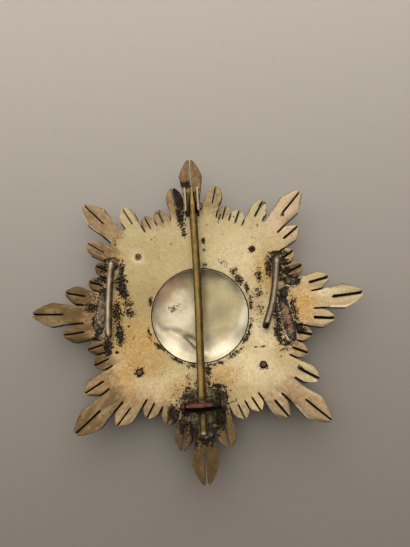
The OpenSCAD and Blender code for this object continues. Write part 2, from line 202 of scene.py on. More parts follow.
# Places where the gilding is warmer and more orange
WARM_SPOTS = (
    (-16.5, -9, 6, 8, 0, 0.9), (-14, -14, 6, 5, 0, 0.6), (18.8, 9, 2.6, 5, 0, 0.85),
    (27.6, -1.2, 3.2, 6.5, 0, 0.95), (5, -18, 4.5, 3, 0, 0.75), (-21, 2, 3, 6, 0, 0.8),
    (-5.6, -20.5, 3.5, 3, 0, 0.6), (-29.5, -1, 1.6, 4, 0, 1), (22, -13, 5, 3, 0, 0.3),
    (-6.3, 31.5, 1.4, 4, 8, 1), (20, 17, 5, 3, 40, 0.25), (-24, 18, 3, 2, 30, 0.6),
    (17.5, -1.5, 2, 4, 0, 0.3), (26, 8, 2.5, 4, 0, 0.7), (-26, 8, 3, 5, 0, 0.4),
    (-21, -17.5, 4, 4, 0, 0.95), (-18.5, -21, 4.5, 2.5, -40, 0.8), (-23, 15.5, 3, 2.5, 0, 0.8),
    (24.5, -12, 3, 3, 0, 0.5), (-10, -22.5, 5, 2, 0, 0.5), (10, -22, 5, 2, 0, 0.4),
)

# Places where the gilding has worn to a pale cream; the long one on the right main ray is a painted highlight
PALE_SPOTS = (
    (11, -17, 8, 5, 0, 0.95), (-13, -20, 6, 3.5, -15, 0.85), (16.5, -6, 3.5, 8, 0, 0.95),
    (12, 14, 7, 8, 30, 0.7), (-15.8, 15.5, 1.7, 1.7, 0, 1.2), (24, -16, 5, 6, 0, 0.5),
    (22, -22, 6, 5, 40, 0.45), (32, 1.9, 5.5, 1.1, 4, 1.2), (16, 4, 2.5, 5, 0, 0.7),
    (23, 22, 6, 5, 45, 0.45), (20.5, -9, 3, 3, 0, 0.7), (-14, -3, 3, 7, 0, 0.35),
    (-8, -19, 6, 3.5, 0, 0.6),
)

# Places where the gilding is worn to a pale rose
ROSY_SPOTS = (
    (26, 26, 9, 3.5, 45, 0.9), (29, 20, 5, 3, 35, 0.9), (35, -2.4, 5, 1.4, 0, 0.9),
    (29.5, -7.2, 4, 1.6, -12, 0.8), (29.5, 4.5, 4, 2, 12, 0.6), (22, -21, 6, 4, -45, 0.5),
    (14, -25, 3, 4, 0, 0.5), (-13, -21.5, 3.5, 2.5, 0, 0.8), (-23, -16, 4, 2.5, 30, 0.5),
    (13, 9, 4, 2.5, 20, 0.45), (24, -9, 3, 3, 0, 0.4), (8, -19, 3, 2, 0, 0.3),
)

# Places where the gilding is dull and a little darker; the narrow ones along the edges of the right-hand
# rays, and the one between the dish and the right hook, are painted shade
DULL_SPOTS = (
    (-14, 4, 5, 8, 0, 0.8), (-14, 15, 6, 4, 0, 0.45), (0, -22, 15, 3.5, 0, 0.8), (-16, -14, 8, 6, 0, 0.5),
    (15, 0, 2.5, 4, 0, 0.6), (-15, -21, 6, 4, 0, 0.6), (22, -15, 4, 4, 0, 0.4), (-20, -6, 4, 6, 0, 0.6),
    (35.5, 3.5, 4.5, 0.7, -6, 1.3), (36, -2.5, 4, 1, 8, 1.1), (31.5, 23.5, 4.5, 1.2, 48, 0.7),
    (29, -8.3, 3, 0.7, -8, 0.8), (28, 28, 3, 1, 45, 0.5),
)

# Reddish places where solder or copper shows
COPPER_SPOTS = (
    (-25.6, -0.5, 1, 6, -5, 0.65), (22.7, -5.4, 1.3, 3.8, -8, 1.05), (22, -1, 0.8, 3, -5, 0.7),
    (-20.6, 7, 1, 2, 0, 0.55), (-1.8, -24.5, 4, 1.8, 0, 0.6), (18.6, 8.6, 0.9, 1.6, 0, 0.7),
    (34.5, -1.2, 3, 0.8, 0, 0.5), (26, 4, 1, 1, 0, 0.6),
)


# Settings


def mm_setting(name, description, mm, low=-10, high=10):
    """A length; its default and limits are given in mm."""
    return bpy.props.FloatProperty(name=name, description=description, default=mm * MM,
                                   min=low * MM, max=high * MM, unit="LENGTH")


def colour_setting(name, description, *default):
    return bpy.props.FloatVectorProperty(name=name, description=description, default=default, subtype="COLOR")


def light_setting(name, description, default, unit="NONE"):
    return bpy.props.FloatProperty(name=name, description=description, default=default, min=0, unit=unit)


class StarSettings(bpy.types.PropertyGroup):
    radius: mm_setting("Star Radius", "From the centre to the tip of a main ray", STAR_RADIUS, 30, 60)
    vault: mm_setting("Vault", "Height of the main tips above the middle", 6, 1, 10)
    thickness: mm_setting("Plate Thickness", "Thickness of the rayed plate", 1.5, 0.5, 3)
    back: mm_setting("Back Height", "Height of the middle of the back above the table", 3.8, 2, 6)
    cut: mm_setting("Saw Cut", "Width of a saw cut", 0.45, 0.2, 1)
    khaki: colour_setting("Old Gilding", "Colour of the plate's old gilding", 0.63, 0.52, 0.27)
    cream: colour_setting("Worn Gilding", "Colour where the gilding is worn pale", 0.90, 0.76, 0.47)
    orange: colour_setting("Warm Gilding", "Colour where the gilding is warm", 0.72, 0.45, 0.13)
    rosewood: colour_setting("Rosy Tarnish", "Colour of the thin tarnish on the rays", 0.33, 0.205, 0.125)
    brown: colour_setting("Brown Tarnish", "Colour of the thick tarnish on the rays", 0.15, 0.092, 0.038)
    black: colour_setting("Black Tarnish", "Colour of the speckled tarnish", 0.010, 0.008, 0.006)
    copper: colour_setting("Solder", "Colour of the reddish solder", 0.25, 0.11, 0.06)


class DishSettings(bpy.types.PropertyGroup):
    radius: mm_setting("Dish Radius", "Radius of the polished dish", DISH_HALF[0], 10, 15)
    depth: mm_setting("Dish Depth", "Depth of the dish below its rim", 3.2, 1, 3.5)
    offset_x: mm_setting("Offset X", "Offset of the dish to the right", DISH_MIDDLE[0])
    offset_y: mm_setting("Offset Y", "Offset of the dish towards the top ray", DISH_MIDDLE[1])


class FittingSettings(bpy.types.PropertyGroup):
    pin_radius: mm_setting("Pin Radius", "Radius of the pin wire", 1.05, 0.5, 1.5)
    hook_radius: mm_setting("Hook Radius", "Radius of the hook wire", 0.9, 0.5, 1.5)
    brass: colour_setting("Pin Brass", "Colour of the worn pin wire", 0.375, 0.25, 0.078)
    hook_metal: colour_setting("Hook Metal", "Colour of the worn hook wire", 0.64, 0.51, 0.34)


class StageSettings(bpy.types.PropertyGroup):
    floor: colour_setting("Floor", "Colour of the plain floor", 0.635, 0.58, 0.515)
    # Painted shade: the floor's colour towards the viewer
    floor_dim: colour_setting("Dim Floor", "Colour of the floor towards the viewer", 0.29, 0.25, 0.205)
    overhead_power: light_setting("Overhead Light", "Power of the large soft light overhead", 0.78, "POWER")
    side_power: light_setting("Side Light", "Power of the soft light on the left", 0.34, "POWER")
    window_power: light_setting("Window Light", "Power of the lower light beyond the top ray", 0.95, "POWER")
    sky: light_setting("Room Light", "Strength of the room's light on its bright side", 0.30)
    walls: light_setting("Walls", "Strength of the light from the room's walls, low on all sides", 0.20)
    dusk: light_setting("Dark Side", "Strength of the room's light on its dark side", 0.05)


def star():
    return bpy.context.scene.breast_star


def dish():
    return bpy.context.scene.breast_star_dish


def fittings():
    return bpy.context.scene.breast_star_fittings


def in_mm(value):
    return value / MM


# Shape of the plate


def vault_radius():
    reach, rise = in_mm(star().radius), in_mm(star().vault)
    return (reach * reach + rise * rise) / (2 * rise)


def back_at(x, y):
    """Height of the plate's back over the table at a place, in mm."""
    ball = vault_radius()
    return in_mm(star().back) + ball - sqrt(ball * ball - x * x - y * y)


def by_ray(table, i):
    """A ray's value in a table with one row for each arm; the first arm has the top ray in its middle."""
    arm, place = divmod((i + RAYS_PER_ARM // 2) % RAY_COUNT, RAYS_PER_ARM)
    return table[arm][place]


def ray_kind(i):
    return ARM_KINDS[(i + RAYS_PER_ARM // 2) % RAYS_PER_ARM]


def ray_reach(i):
    return KIND_LEAF[ray_kind(i)][-1][0]


def cut_start(i, side):
    """Where the cut starts between a ray and the next one on a side (1 clockwise, -1 the other way)."""
    return max(KIND_CUT[ray_kind(i)], KIND_CUT[ray_kind(i + side)])


def cut_end(i, side):
    return min(ray_reach(i), ray_reach(i + side)) - TIP_SHARE


def shift_at(i, along):
    """Sideways shift of a ray's middle line: none at the hub, all at the tip."""
    lean = tan(radians(by_ray(TIP_LEAN, i)))
    return ray_reach(i) * lean * max(0, along - ROOT_SHARE) / (ray_reach(i) - ROOT_SHARE)


def turned(x, y, clockwise):
    """A point turned clockwise about the star's centre."""
    a = radians(clockwise)
    return x * cos(a) + y * sin(a), y * cos(a) - x * sin(a)


def edge_point(i, side, along):
    """The edge of a ray on one side of it, in mm: along the cut, or along its own leaf where that is free."""
    reach, half = in_mm(star().radius), RAY_STEP / 2
    beyond = along > cut_start(i, side)
    gap = 0
    if beyond:
        gap = in_mm(star().cut) / 2 if along <= cut_end(i, side) else TIP_GAP
    between = (shift_at(i, along) + shift_at(i + side, along)) / 2
    limit = turned(between * reach - side * gap, along / cos(radians(half)) * reach, side * half)
    across = side * float(np.interp(along, *zip(*KIND_LEAF[ray_kind(i)]))) + shift_at(i, along)
    alone = along > min(ray_reach(i), ray_reach(i + side))
    if beyond and (alone or side * across * reach < side * limit[0]):
        limit = across * reach, along * reach
    return turned(*limit, i * RAY_STEP)


def slit_half(i, along):
    if along <= KIND_SLIT[ray_kind(i)]:
        return 0
    return SLIT_WIDTHS.get(i, in_mm(star().cut)) / 2


def middle_point(i, side, along):
    reach = in_mm(star().radius)
    return turned(shift_at(i, along) * reach + side * slit_half(i, along), along * reach, i * RAY_STEP)


def narrowed(i, side, along, in_slit, in_cut):
    """How far the front edge of a saw cut stands in from its back edge, as x and y in mm."""
    if i in OPEN_CUTS or not (in_slit or in_cut):
        return 0, 0
    if in_slit:
        return turned(-side * UNDERCUT * slit_half(i, along), 0, i * RAY_STEP)
    return turned(side * UNDERCUT * in_mm(star().cut) / 2, 0, (i + side / 2) * RAY_STEP)


def row_shares():
    shares = []
    for low, high in zip(KEY_SHARES, KEY_SHARES[1:]):
        count = max(1, round((high - low) / ROW_SPACING))
        shares += [low + (high - low) * k / count for k in range(count)]
    return shares + [KEY_SHARES[-1]]


def smooth_step(low, high, value):
    t = min(1, max(0, (value - low) / (high - low)))
    return t * t * (3 - 2 * t)


def hand(i, part):
    """A steady hand-made difference between -1 and 1 for a part of a ray."""
    return 1.8 * noise.noise(Vector((i, part, 0.37)) * 3.17)


def relief(x, y, i, side, along, across):
    """Unevenness of the hand-made back, in mm. A ray's parts move apart only beyond their cuts."""
    height = 0.05 * noise.noise(Vector((x, y, 0)) / 7) + 0.02 * noise.noise(Vector((x, y, 5)) / 2)
    height -= 0.16 * smooth_step(1.9, 0.6, hypot(x - HOLLOW[0], y - HOLLOW[1]))
    cut, slit = cut_start(i, side), KIND_SLIT[ray_kind(i)]
    last_cut = max(cut, cut_start(i, -side))
    whole = smooth_step(last_cut, last_cut + 0.14, along)
    beside = smooth_step(cut, cut + 0.1, along)
    split = smooth_step(slit, slit + 0.09, along)
    middle = 0.3 * hand(i, 1) * whole + 0.1 * hand(i, 2 + side) * split
    edge = 0.3 * hand(i, 5 + side) * beside
    domed = 0.24 * beside * across ** 3 + 0.1 * split * (1 - across) ** 3
    return height + middle * (1 - across ** 2) + edge * across ** 2 - domed


# Mesh tools


def mesh_from(name, points, faces):
    """A mesh from points in mm."""
    mesh = bpy.data.meshes.new(name)
    mesh.from_pydata([tuple(c * MM for c in p) for p in points], [], faces)
    mesh.update()
    return mesh


def clean(mesh, weld, sharp):
    """Welds doubled points, turns the faces outwards and keeps real edges sharp."""
    bm = bmesh.new()
    bm.from_mesh(mesh)
    bmesh.ops.remove_doubles(bm, verts=bm.verts, dist=weld * MM)
    bmesh.ops.recalc_face_normals(bm, faces=bm.faces)
    for face in bm.faces:
        face.smooth = True
    bm.to_mesh(mesh)
    bm.free()
    mesh.set_sharp_from_angle(angle=radians(sharp))


def link_piece(name, mesh, node, body="star"):
    """Shows a mesh as a piece that stands for a node and rides on a body."""
    piece = bpy.data.objects.new(name, mesh)
    bpy.context.scene.collection.objects.link(piece)
    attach(piece, body)
    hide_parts(node)
    return piece


def add_piece(name, shape, node="star_plate", body="star", weld=0.002, sharp=38):
    """Adds a smooth piece made of points and faces in mm, and gives back its mesh."""
    mesh = mesh_from(name, *shape)
    clean(mesh, weld, sharp)
    link_piece(name, mesh, node, body)
    return mesh


def soften(piece, width, segments, angle):
    """Rounds the edges of a piece by a width in mm, where they are sharper than an angle."""
    soft = piece.modifiers.new("soft_edges", "BEVEL")
    soft.width = width * MM
    soft.segments = segments
    soft.angle_limit = radians(angle)


def apply_modifiers(piece):
    """Bakes a piece's modifiers into its mesh."""
    graph = bpy.context.evaluated_depsgraph_get()
    mesh = bpy.data.meshes.new_from_object(piece.evaluated_get(graph))
    old = piece.data
    piece.modifiers.clear()
    piece.data = mesh
    bpy.data.meshes.remove(old)
    return mesh


def bands(rings, sides, capped=False):
    """Faces between rings of points, and across the first and last ring where they are capped."""
    faces = []
    for low in range(0, (rings - 1) * sides, sides):
        top = low + sides
        faces += [(low + s, low + (s + 1) % sides, top + (s + 1) % sides, top + s) for s in range(sides)]
    if capped:
        last = (rings - 1) * sides
        faces += [tuple(range(sides)), tuple(range(last, last + sides))]
    return faces


def fan(ring, sides, tip):
    """Faces from a ring of points, given by its first one, to a tip."""
    return [(ring + s, ring + (s + 1) % sides, tip) for s in range(sides)]


def tube(path, radii, sides):
    """Points and faces of a round wire along a path, with closed ends; path and radii in mm."""
    points = []
    across = None
    for k, p in enumerate(path):
        ahead = (path[min(k + 1, len(path) - 1)] - path[max(k - 1, 0)]).normalized()
        if across is None:
            across = ahead.cross(Vector((0, 0, 1)))
            if across.length < 0.1:
                across = ahead.cross(Vector((1, 0, 0)))
        across = (across - ahead * across.dot(ahead)).normalized()
        up = across.cross(ahead)
        for s in range(sides):
            a = 2 * pi * s / sides
            rub = 1 + 0.02 * noise.noise(Vector((cos(a), sin(a), k * 0.23)))
            points.append(p + radii[k] * rub * (across * cos(a) + up * sin(a)))
    ring, end = len(points) - sides, len(points)
    faces = bands(len(path), sides) + fan(0, sides, end) + fan(ring, sides, end + 1)
    return points + [path[0], path[-1]], faces


def filed(left, span, depth):
    """How much thinner a wire is near its filed end, by the length left to that end; all in mm."""
    t = min(1, max(0, left / span))
    return depth * (1 - sqrt(1 - (1 - t) ** 2))


def joined(*parts):
    """Several lots of points and faces as one."""
    points, faces = [], []
    for more_points, more_faces in parts:
        start = len(points)
        points += list(more_points)
        faces += [tuple(start + v for v in face) for face in more_faces]
    return points, faces


def curve_through(points, count, fineness=16):
    """Even steps along a smooth line through points."""
    points = [Vector(p) for p in points]
    ends = [2 * points[0] - points[1]] + points + [2 * points[-1] - points[-2]]
    fine = []
    for a, b, c, d in zip(ends, ends[1:], ends[2:], ends[3:]):
        for j in range(fineness):
            t = j / fineness
            fine.append(0.5 * (2 * b + (c - a) * t + (2 * a - 5 * b + 4 * c - d) * t * t
                               + (3 * b - a - 3 * c + d) * t ** 3))
    fine.append(points[-1])
    steps = np.concatenate([[0], np.cumsum([(q - p).length for p, q in zip(fine, fine[1:])])])
    places = np.linspace(0, steps[-1], count)
    axes = [np.interp(places, steps, [p[axis] for p in fine]) for axis in range(3)]
    return [Vector(p) for p in zip(*axes)]


def on_back(x, y):
    """Matrix that puts a shape on the back at x, y with its Z along the plate's normal, in mm."""
    ball = vault_radius()
    bearing, lean = atan2(y, x), asin(hypot(x, y) / ball)
    middle = Matrix.Translation((0, 0, in_mm(star().back) + ball))
    turn = Matrix.Rotation(bearing, 4, "Z") @ Matrix.Rotation(-lean, 4, "Y")
    return middle @ turn @ Matrix.Translation((0, 0, -ball)) @ Matrix.Rotation(-bearing, 4, "Z")


def crust(x0, y0, half_x, half_y, turn, height, seed, ragged=0.14):
    """A ragged cake of solder on the back: points and faces in mm."""
    rings, sides, sunk = 16, 72, 0.12
    c0, s0 = cos(radians(turn)), sin(radians(turn))

    def point(share, a):
        c, s = abs(cos(a)), abs(sin(a))
        reach = 1 / ((c / half_x) ** CAKE_POWER + (s / half_y) ** CAKE_POWER) ** (1 / CAKE_POWER)
        reach *= 1 + ragged * noise.noise(Vector((cos(a) * 1.6, sin(a) * 1.6, seed)))
        reach += ragged * noise.noise(Vector((cos(a) * 7, sin(a) * 7, seed + 9)))
        u, v = share * reach * cos(a), share * reach * sin(a)
        x, y = x0 + u * c0 - v * s0, y0 + u * s0 + v * c0
        bumps = noise.noise(Vector((x, y, seed)) * 1.1) + 0.6 * noise.noise(Vector((x, y, seed)) * 2.7)
        dome = 1 - share ** 6
        return Vector((x, y, back_at(x, y) - sunk + dome * (sunk + height * (0.75 + 0.5 * bumps))))

    points = [point(0, 0)]
    for k in range(1, rings + 1):
        points += [point(k / rings, 2 * pi * s / sides) for s in range(sides)]
    points += [Vector((p.x, p.y, p.z - 0.35)) for p in points[-sides:]]
    under = len(points) - sides
    points.append(Vector((x0, y0, back_at(x0, y0) - 0.5)))
    walls = [tuple(1 + v for v in face) for face in bands(rings + 1, sides)]
    return points, walls + fan(1, sides, 0) + fan(under, sides, under + sides)


# Stains on the points of a mesh


def in_spot(x, y, spot):
    """Places across and up a turned spot, in its own half sizes."""
    cx, cy, half_x, half_y, turn = spot[:5]
    a = radians(turn)
    across = (x - cx) * cos(a) + (y - cy) * sin(a)
    up = (y - cy) * cos(a) - (x - cx) * sin(a)
    return across / half_x, up / half_y


def spots_at(x, y, spots):
    """Strongest of the soft spots at each place: 1 in a spot's middle, 0 well outside it."""
    found = np.zeros(len(x))
    for spot in spots:
        u, v = in_spot(x, y, spot)
        found = np.maximum(found, spot[5] * np.exp(-0.6 * (u * u + v * v)))
    return found


def cake_edge(cakes):
    """How near each place is to the border of the nearest cake: 0 in its middle, 1 on the border."""
    def nearness(x, y):
        found = np.full(len(x), 2.0)
        for cake in cakes:
            u, v = np.abs(in_spot(x, y, cake))
            found = np.minimum(found, (u ** CAKE_POWER + v ** CAKE_POWER) ** (1 / CAKE_POWER))
        return found
    return nearness


def wire_painted_shade(u, line, width, strength, lean, sides):
    """Painted shade along a wire, by the place across it in radii: one line, and both its sides."""
    streak = strength * np.exp(-((u - line) / width) ** 2)
    return np.clip(np.maximum(streak, (np.abs(u + lean) - sides) / 0.3), 0, 1)


def paint(mesh, **layers):
    """Stores each stain on the mesh's points, for the materials to read by name."""
    co = np.zeros(len(mesh.vertices) * 3)
    mesh.vertices.foreach_get("co", co)
    x, y = co[0::3] / MM, co[1::3] / MM
    for name, value in layers.items():
        layer = mesh.attributes.new(name, "FLOAT", "POINT")
        amount = value(x, y) if callable(value) else spots_at(x, y, value)
        layer.data.foreach_set("value", np.asarray(amount, np.float32))


# Nodes and materials


class Nodes:
    """Adds nodes to one node tree and joins them."""

    def __init__(self, tree, coordinates):
        self.tree = tree
        self.place = self.made("ShaderNodeTexCoord", {}, coordinates)

    def made(self, kind, inputs, output=0, **settings):
        """An output of a new node whose inputs, given by name or number, are fed."""
        node = self.tree.nodes.new(kind)
        for name, value in settings.items():
            setattr(node, name, value)
        for name, value in inputs.items():
            self.feed(node.inputs[name], value)
        return node.outputs[output]

    def feed(self, socket, value):
        """Gives a socket a number, a colour, another node's output, or a stain by its name."""
        if isinstance(value, str):
            value = self.made("ShaderNodeAttribute", {}, "Fac", attribute_name=value)
        if isinstance(value, bpy.types.NodeSocket):
            self.tree.links.new(value, socket)
        elif socket.type == "RGBA":
            socket.default_value = (*value, 1)
        else:
            socket.default_value = value

    def math(self, operation, a, b=0.0, c=0.0, clamp=False):
        return self.made("ShaderNodeMath", {0: a, 1: b, 2: c}, operation=operation, use_clamp=clamp)

    def chain(self, operation, values):
        made = values[0]
        for value in values[1:]:
            made = self.math(operation, made, value)
        return made

    def times(self, *values):
        return self.chain("MULTIPLY", values)

    def plus(self, *values):
        return self.chain("ADD", values)

    def most(self, *values):
        return self.chain("MAXIMUM", values)

    def scaled(self, value, factor, more):
        return self.math("MULTIPLY_ADD", value, factor, more)

    def band(self, value, low, high, to_low=0.0, to_high=1.0):
        """Smooth step of a value between two limits."""
        return self.made("ShaderNodeMapRange", {0: value, 1: low, 2: high, 3: to_low, 4: to_high},
                         interpolation_type="SMOOTHSTEP")

    def part(self, axis, vector):
        return self.made("ShaderNodeSeparateXYZ", {0: vector}, axis)

    def stretched(self, *scale):
        return self.made("ShaderNodeVectorMath", {0: self.place, 1: scale}, operation="MULTIPLY")

    def grain(self, size_mm, detail=3, rough=0.55, distort=0.0, place=None):
        """Noise about 0.5, with features of a size in mm."""
        inputs = {"Vector": place or self.place, "Scale": 1 / (size_mm * MM), "Detail": detail,
                  "Roughness": rough, "Distortion": distort}
        return self.made("ShaderNodeTexNoise", inputs, "Fac")

    def even(self, noise_value):
        """A noise spread over the whole range from 0 to 1."""
        return self.band(noise_value, 0.36, 0.64)

    def threads(self, noise_value, width):
        """Thin winding lines, where a noise crosses its middle value."""
        return self.band(self.math("ABSOLUTE", self.math("SUBTRACT", noise_value, 0.5)), width, 0.0)

    def ragged(self, amount, strength, noise_value, low, high):
        """A stain whose border is broken up by a noise."""
        return self.band(self.plus(amount, self.scaled(noise_value, strength, -strength / 2)), low, high)

    def dots(self, amount, size_mm=0.6):
        """Separate specks, each in its own cell: more and larger ones where the amount is greater."""
        shift = self.made("ShaderNodeTexNoise", {"Vector": self.place, "Scale": 1 / (0.3 * MM)}, "Color")
        shaken = self.made("ShaderNodeVectorMath", {0: shift, 1: (0.5 * MM,) * 3, 2: self.place},
                           operation="MULTIPLY_ADD")
        inputs = {"Vector": shaken, "Scale": 1 / (size_mm * MM)}
        chance = self.made("ShaderNodeSeparateColor", {0: self.made("ShaderNodeTexVoronoi", inputs, "Color")})
        distance = self.made("ShaderNodeTexVoronoi", inputs, "Distance")
        return self.band(self.scaled(self.scaled(chance, -0.5, amount), -1.15, distance), 0.06, -0.06)

    def speckle(self):
        """Noise for specks: small ones over larger ones."""
        return self.scaled(self.grain(0.4, 2, 0.6, 0.3), 0.65, self.times(self.grain(1.0, 3, 0.6, 0.4), 0.35))


class Finish(Nodes):
    """Builds one material: a colour, more colours laid over it, and its surface."""

    def __init__(self, name, colour):
        self.material = bpy.data.materials.new(name)
        self.material.use_nodes = True
        self.colour = colour
        super().__init__(self.material.node_tree, "Object")

    def mix(self, amount, a, b):
        return self.made("ShaderNodeMix", {0: amount, 6: a, 7: b}, 2, data_type="RGBA")

    def lay(self, colour, *amounts):
        """Lays a colour over those before it, by the product of the amounts."""
        self.colour = self.mix(self.times(*amounts), self.colour, colour)

    def bump(self, height, depth_mm, under=None):
        inputs = {"Strength": 1, "Distance": depth_mm * MM, "Height": height}
        if under is not None:
            inputs["Normal"] = under
        return self.made("ShaderNodeBump", inputs, "Normal")

    def upward(self):
        """How far a face looks up: 1 for the back, 0 for sawn walls."""
        return self.part("Z", self.made("ShaderNodeNewGeometry", {}, "True Normal"))

    def finished(self, **values):
        """Feeds the shader's sockets and gives back the material."""
        shader = self.tree.nodes["Principled BSDF"]
        self.feed(shader.inputs["Base Color"], self.colour)
        for name, value in values.items():
            self.feed(shader.inputs[name.replace("_", " ")], value)
        return self.material


def tinted(colour, share):
    return tuple(share * c for c in colour)


# Colours of the marks on the gilding, and of its painted highlights

ROSE = (0.88, 0.62, 0.42)
AMBER = (0.52, 0.33, 0.12)
RUST = (0.46, 0.21, 0.07)
UMBER = (0.33, 0.23, 0.09)
FAWN = (0.54, 0.36, 0.18)
DARK_FRECKLE = (0.20, 0.10, 0.045)
PALE_FRECKLE = (0.70, 0.50, 0.33)
WORN_RAY = (0.60, 0.38, 0.20)
BRUSHED = (0.42, 0.27, 0.12)
LIT_RIM = (0.98, 0.84, 0.60)
BRIGHT_EDGE = (0.72, 0.58, 0.38)


def gilding(f, s, cloud, patch):
    """Worn pale, warm, rosy and dull places of the old gilding, a few of the pale and dull ones painted
    highlight and painted shade, with a mottle and rusty veins.
    """
    f.lay(s.cream, f.ragged("pale", 1.1, cloud, 0.1, 0.9))
    f.lay(s.orange, f.ragged("warm", 1.0, cloud, 0.05, 1.0), 0.85)
    f.lay(ROSE, f.ragged("rosy", 0.9, patch, 0.05, 1.0), 0.8)
    mottle = f.grain(0.9, 6, 0.72, 0.6)
    f.lay(AMBER, f.band(mottle, 0.50, 0.66, 0, 0.45))
    f.lay(s.cream, f.band(mottle, 0.47, 0.34, 0, 0.4))
    f.lay(RUST, f.threads(f.grain(1.7, 5, 0.7, 1.4), 0.05), f.band("warm", 0.0, 0.7, 0.1, 0.85))
    f.lay(UMBER, f.ragged("dull", 0.8, cloud, 0.0, 1.0), 0.6)


def ray_tarnish(f, s, patch):
    """Tarnish of the rays beyond the hub, from rosy to dark brown, drawn out along each ray; the darkest
    brown is also painted shade.
    """
    f.lay(FAWN, f.band("brown", 0.1, 0.7, 0, 0.6))
    f.lay(s.rosewood, f.even(patch), f.band("brown", 0.0, 0.4, 0.05, 0.6))
    freckle = f.even(f.grain(0.55, 3, 0.7, 0.4))
    f.lay(DARK_FRECKLE, f.band(freckle, 0.75, 1.0), f.band("brown", 0.0, 0.4, 0.12, 0.5))
    f.lay(PALE_FRECKLE, f.band(freckle, 0.25, 0.0), f.band("brown", 0.0, 0.4, 0.0, 0.4))
    way = f.made("ShaderNodeCombineXYZ", {0: "ray_across", 1: "ray_along"})
    drawn = f.even(f.grain(0.9, 4, 0.62, 0.5, way))
    blotch = f.scaled(f.even(f.grain(2.6, 4, 0.62, 0.9)), 0.5, f.times(drawn, 0.5))
    cover = f.math("ADD", "brown", f.scaled(blotch, 0.8, -0.4), clamp=True)
    f.lay(s.brown, cover, f.band("brown", 0, 0.3, 0, 0.94))
    rubbed = f.times(f.band("brown", 0.05, 0.5, 0, 0.55), f.band("brown", 1.6, 0.9, 0.4, 1))
    f.lay(WORN_RAY, f.band(drawn, 0.45, 1.0), rubbed)
    # Darkest brown where the amount is highest: tarnish and painted shade, as on the bottom arm
    f.lay(tinted(s.brown, 0.4), f.band("brown", 0.9, 2.1, 0, 0.95), f.band(patch, 0.35, 0.6, 0.6, 1))


def scratches(f, s):
    """Brushed streaks and bright scratches; gives back the scratches."""
    streak = f.band(f.grain(0.25, 4, 0.65, 0.3, f.stretched(1, 0.16, 1)), 0.54, 0.66)
    f.lay(BRUSHED, streak, f.band("pale", 0.2, 0.8, 0.08, 0.42))
    lengthwise = f.band(f.grain(0.14, 2, 0.5, 0, f.stretched(1, 0.035, 1)), 0.6, 0.72)
    crosswise = f.band(f.grain(0.14, 2, 0.5, 0, f.stretched(0.05, 1, 1)), 0.66, 0.76)
    scored = f.most(lengthwise, f.times(crosswise, 0.6))
    f.lay(s.cream, scored, f.band("brown", 0.3, 1.0, 0.35, 0.03))
    return scored


def black_tarnish(f, s, cloud, patch, fine):
    """Stray specks, reddish solder and black tarnish; gives back the tarnish, and it with the grime and
    painted shade of the cuts.
    """
    f.lay(tinted(s.brown, 0.5), f.dots(f.band(cloud, 0.4, 0.7, 0.1, 0.28), 0.9), 0.75)
    speck = f.speckle()
    f.lay(s.copper, f.ragged("copper", 2.0, speck, 0.45, 0.8), 0.8)
    tarnish = f.most(f.ragged("black", 3.2, speck, 0.66, 0.78), f.dots("black"))
    tarnish = f.times(tarnish, f.band(f.even(f.grain(0.3, 3, 0.6)), 0.97, 0.8, 0.35, 1))
    f.lay(s.brown, f.ragged("black", 1.6, patch, 0.2, 1.0), 0.5)
    # Black tarnish, with grime and painted shade along the cuts, in black and brown
    dark = f.most(tarnish, f.ragged("grime_and_shade", 0.5, patch, 0.8, 0.95))
    f.lay(f.mix(f.band(fine, 0.55, 0.75), s.black, tinted(s.brown, 0.5)), dark)
    return tarnish, dark


def gilt_finish():
    """Old gilding with rosy and brown rays, reddish solder and speckled black tarnish."""
    s = star()
    f = Finish("old_gilding", s.khaki)
    cloud, patch, fine = f.grain(7, 3), f.grain(1.6, 5, 0.65, 0.4), f.grain(0.32, 5, 0.7)
    wall = f.band(f.upward(), 0.5, 0.2)
    bevel = f.times(f.band(f.upward(), 0.93, 0.75), f.math("SUBTRACT", 1, wall))

    gilding(f, s, cloud, patch)
    ray_tarnish(f, s, patch)
    f.lay(tinted(s.khaki, 0.75), f.band(cloud, 0.5, 0.7, 0, 0.25))
    f.lay(tinted(s.brown, 0.7), f.ragged("rim", 1.0, patch, 0.3, 0.9), 0.8)
    f.lay(LIT_RIM, f.ragged("lit", 0.7, patch, 0.15, 0.6), f.band("brown", 1.3, 0.4, 0.1, 0.9))
    f.lay(tinted(s.brown, 1.6), f.even(fine), 0.17)
    scored = scratches(f, s)
    tarnish, dark = black_tarnish(f, s, cloud, patch, fine)
    # Rounded edges made lighter: wear and painted highlight
    f.lay(BRIGHT_EDGE, bevel, f.scaled(dark, -0.8, 1), f.band(patch, 0.3, 0.6, 0.25, 0.8))
    # Sawn walls made darker: painted shade in the cuts
    f.lay(tinted(s.brown, 0.35), wall, 0.92)

    rough = f.plus(f.band(fine, 0.3, 0.75, 0.33, 0.46), f.times(dark, 0.22), f.times(wall, 0.2))
    metal = f.math("SUBTRACT", f.band(dark, 0, 1, 0.88, 0.25), f.times(wall, 0.5))
    low = f.bump(f.plus(f.times(scored, 0.4), f.times(fine, 0.5)), 0.03)
    low = f.bump(f.times(patch, 0.5), 0.12, low)
    low = f.bump(f.times(tarnish, f.grain(0.5, 4, 0.7)), 0.16, low)
    return f.finished(Roughness=rough, Metallic=metal, Normal=low, Specular_IOR_Level=0.2)


# Colours of the dish: its gilt, each stain on it, and its painted highlight and painted shade

DISH_GILT = (0.74, 0.66, 0.47)
DISH_CLOUD = (0.64, 0.53, 0.33)
DISH_OLIVE = (0.56, 0.46, 0.22)
DISH_RED = (0.34, 0.18, 0.10)
DISH_SHINE = (0.98, 0.88, 0.66)
DISH_SHADE = (0.25, 0.205, 0.13)
DISH_MARK = (0.13, 0.095, 0.04)


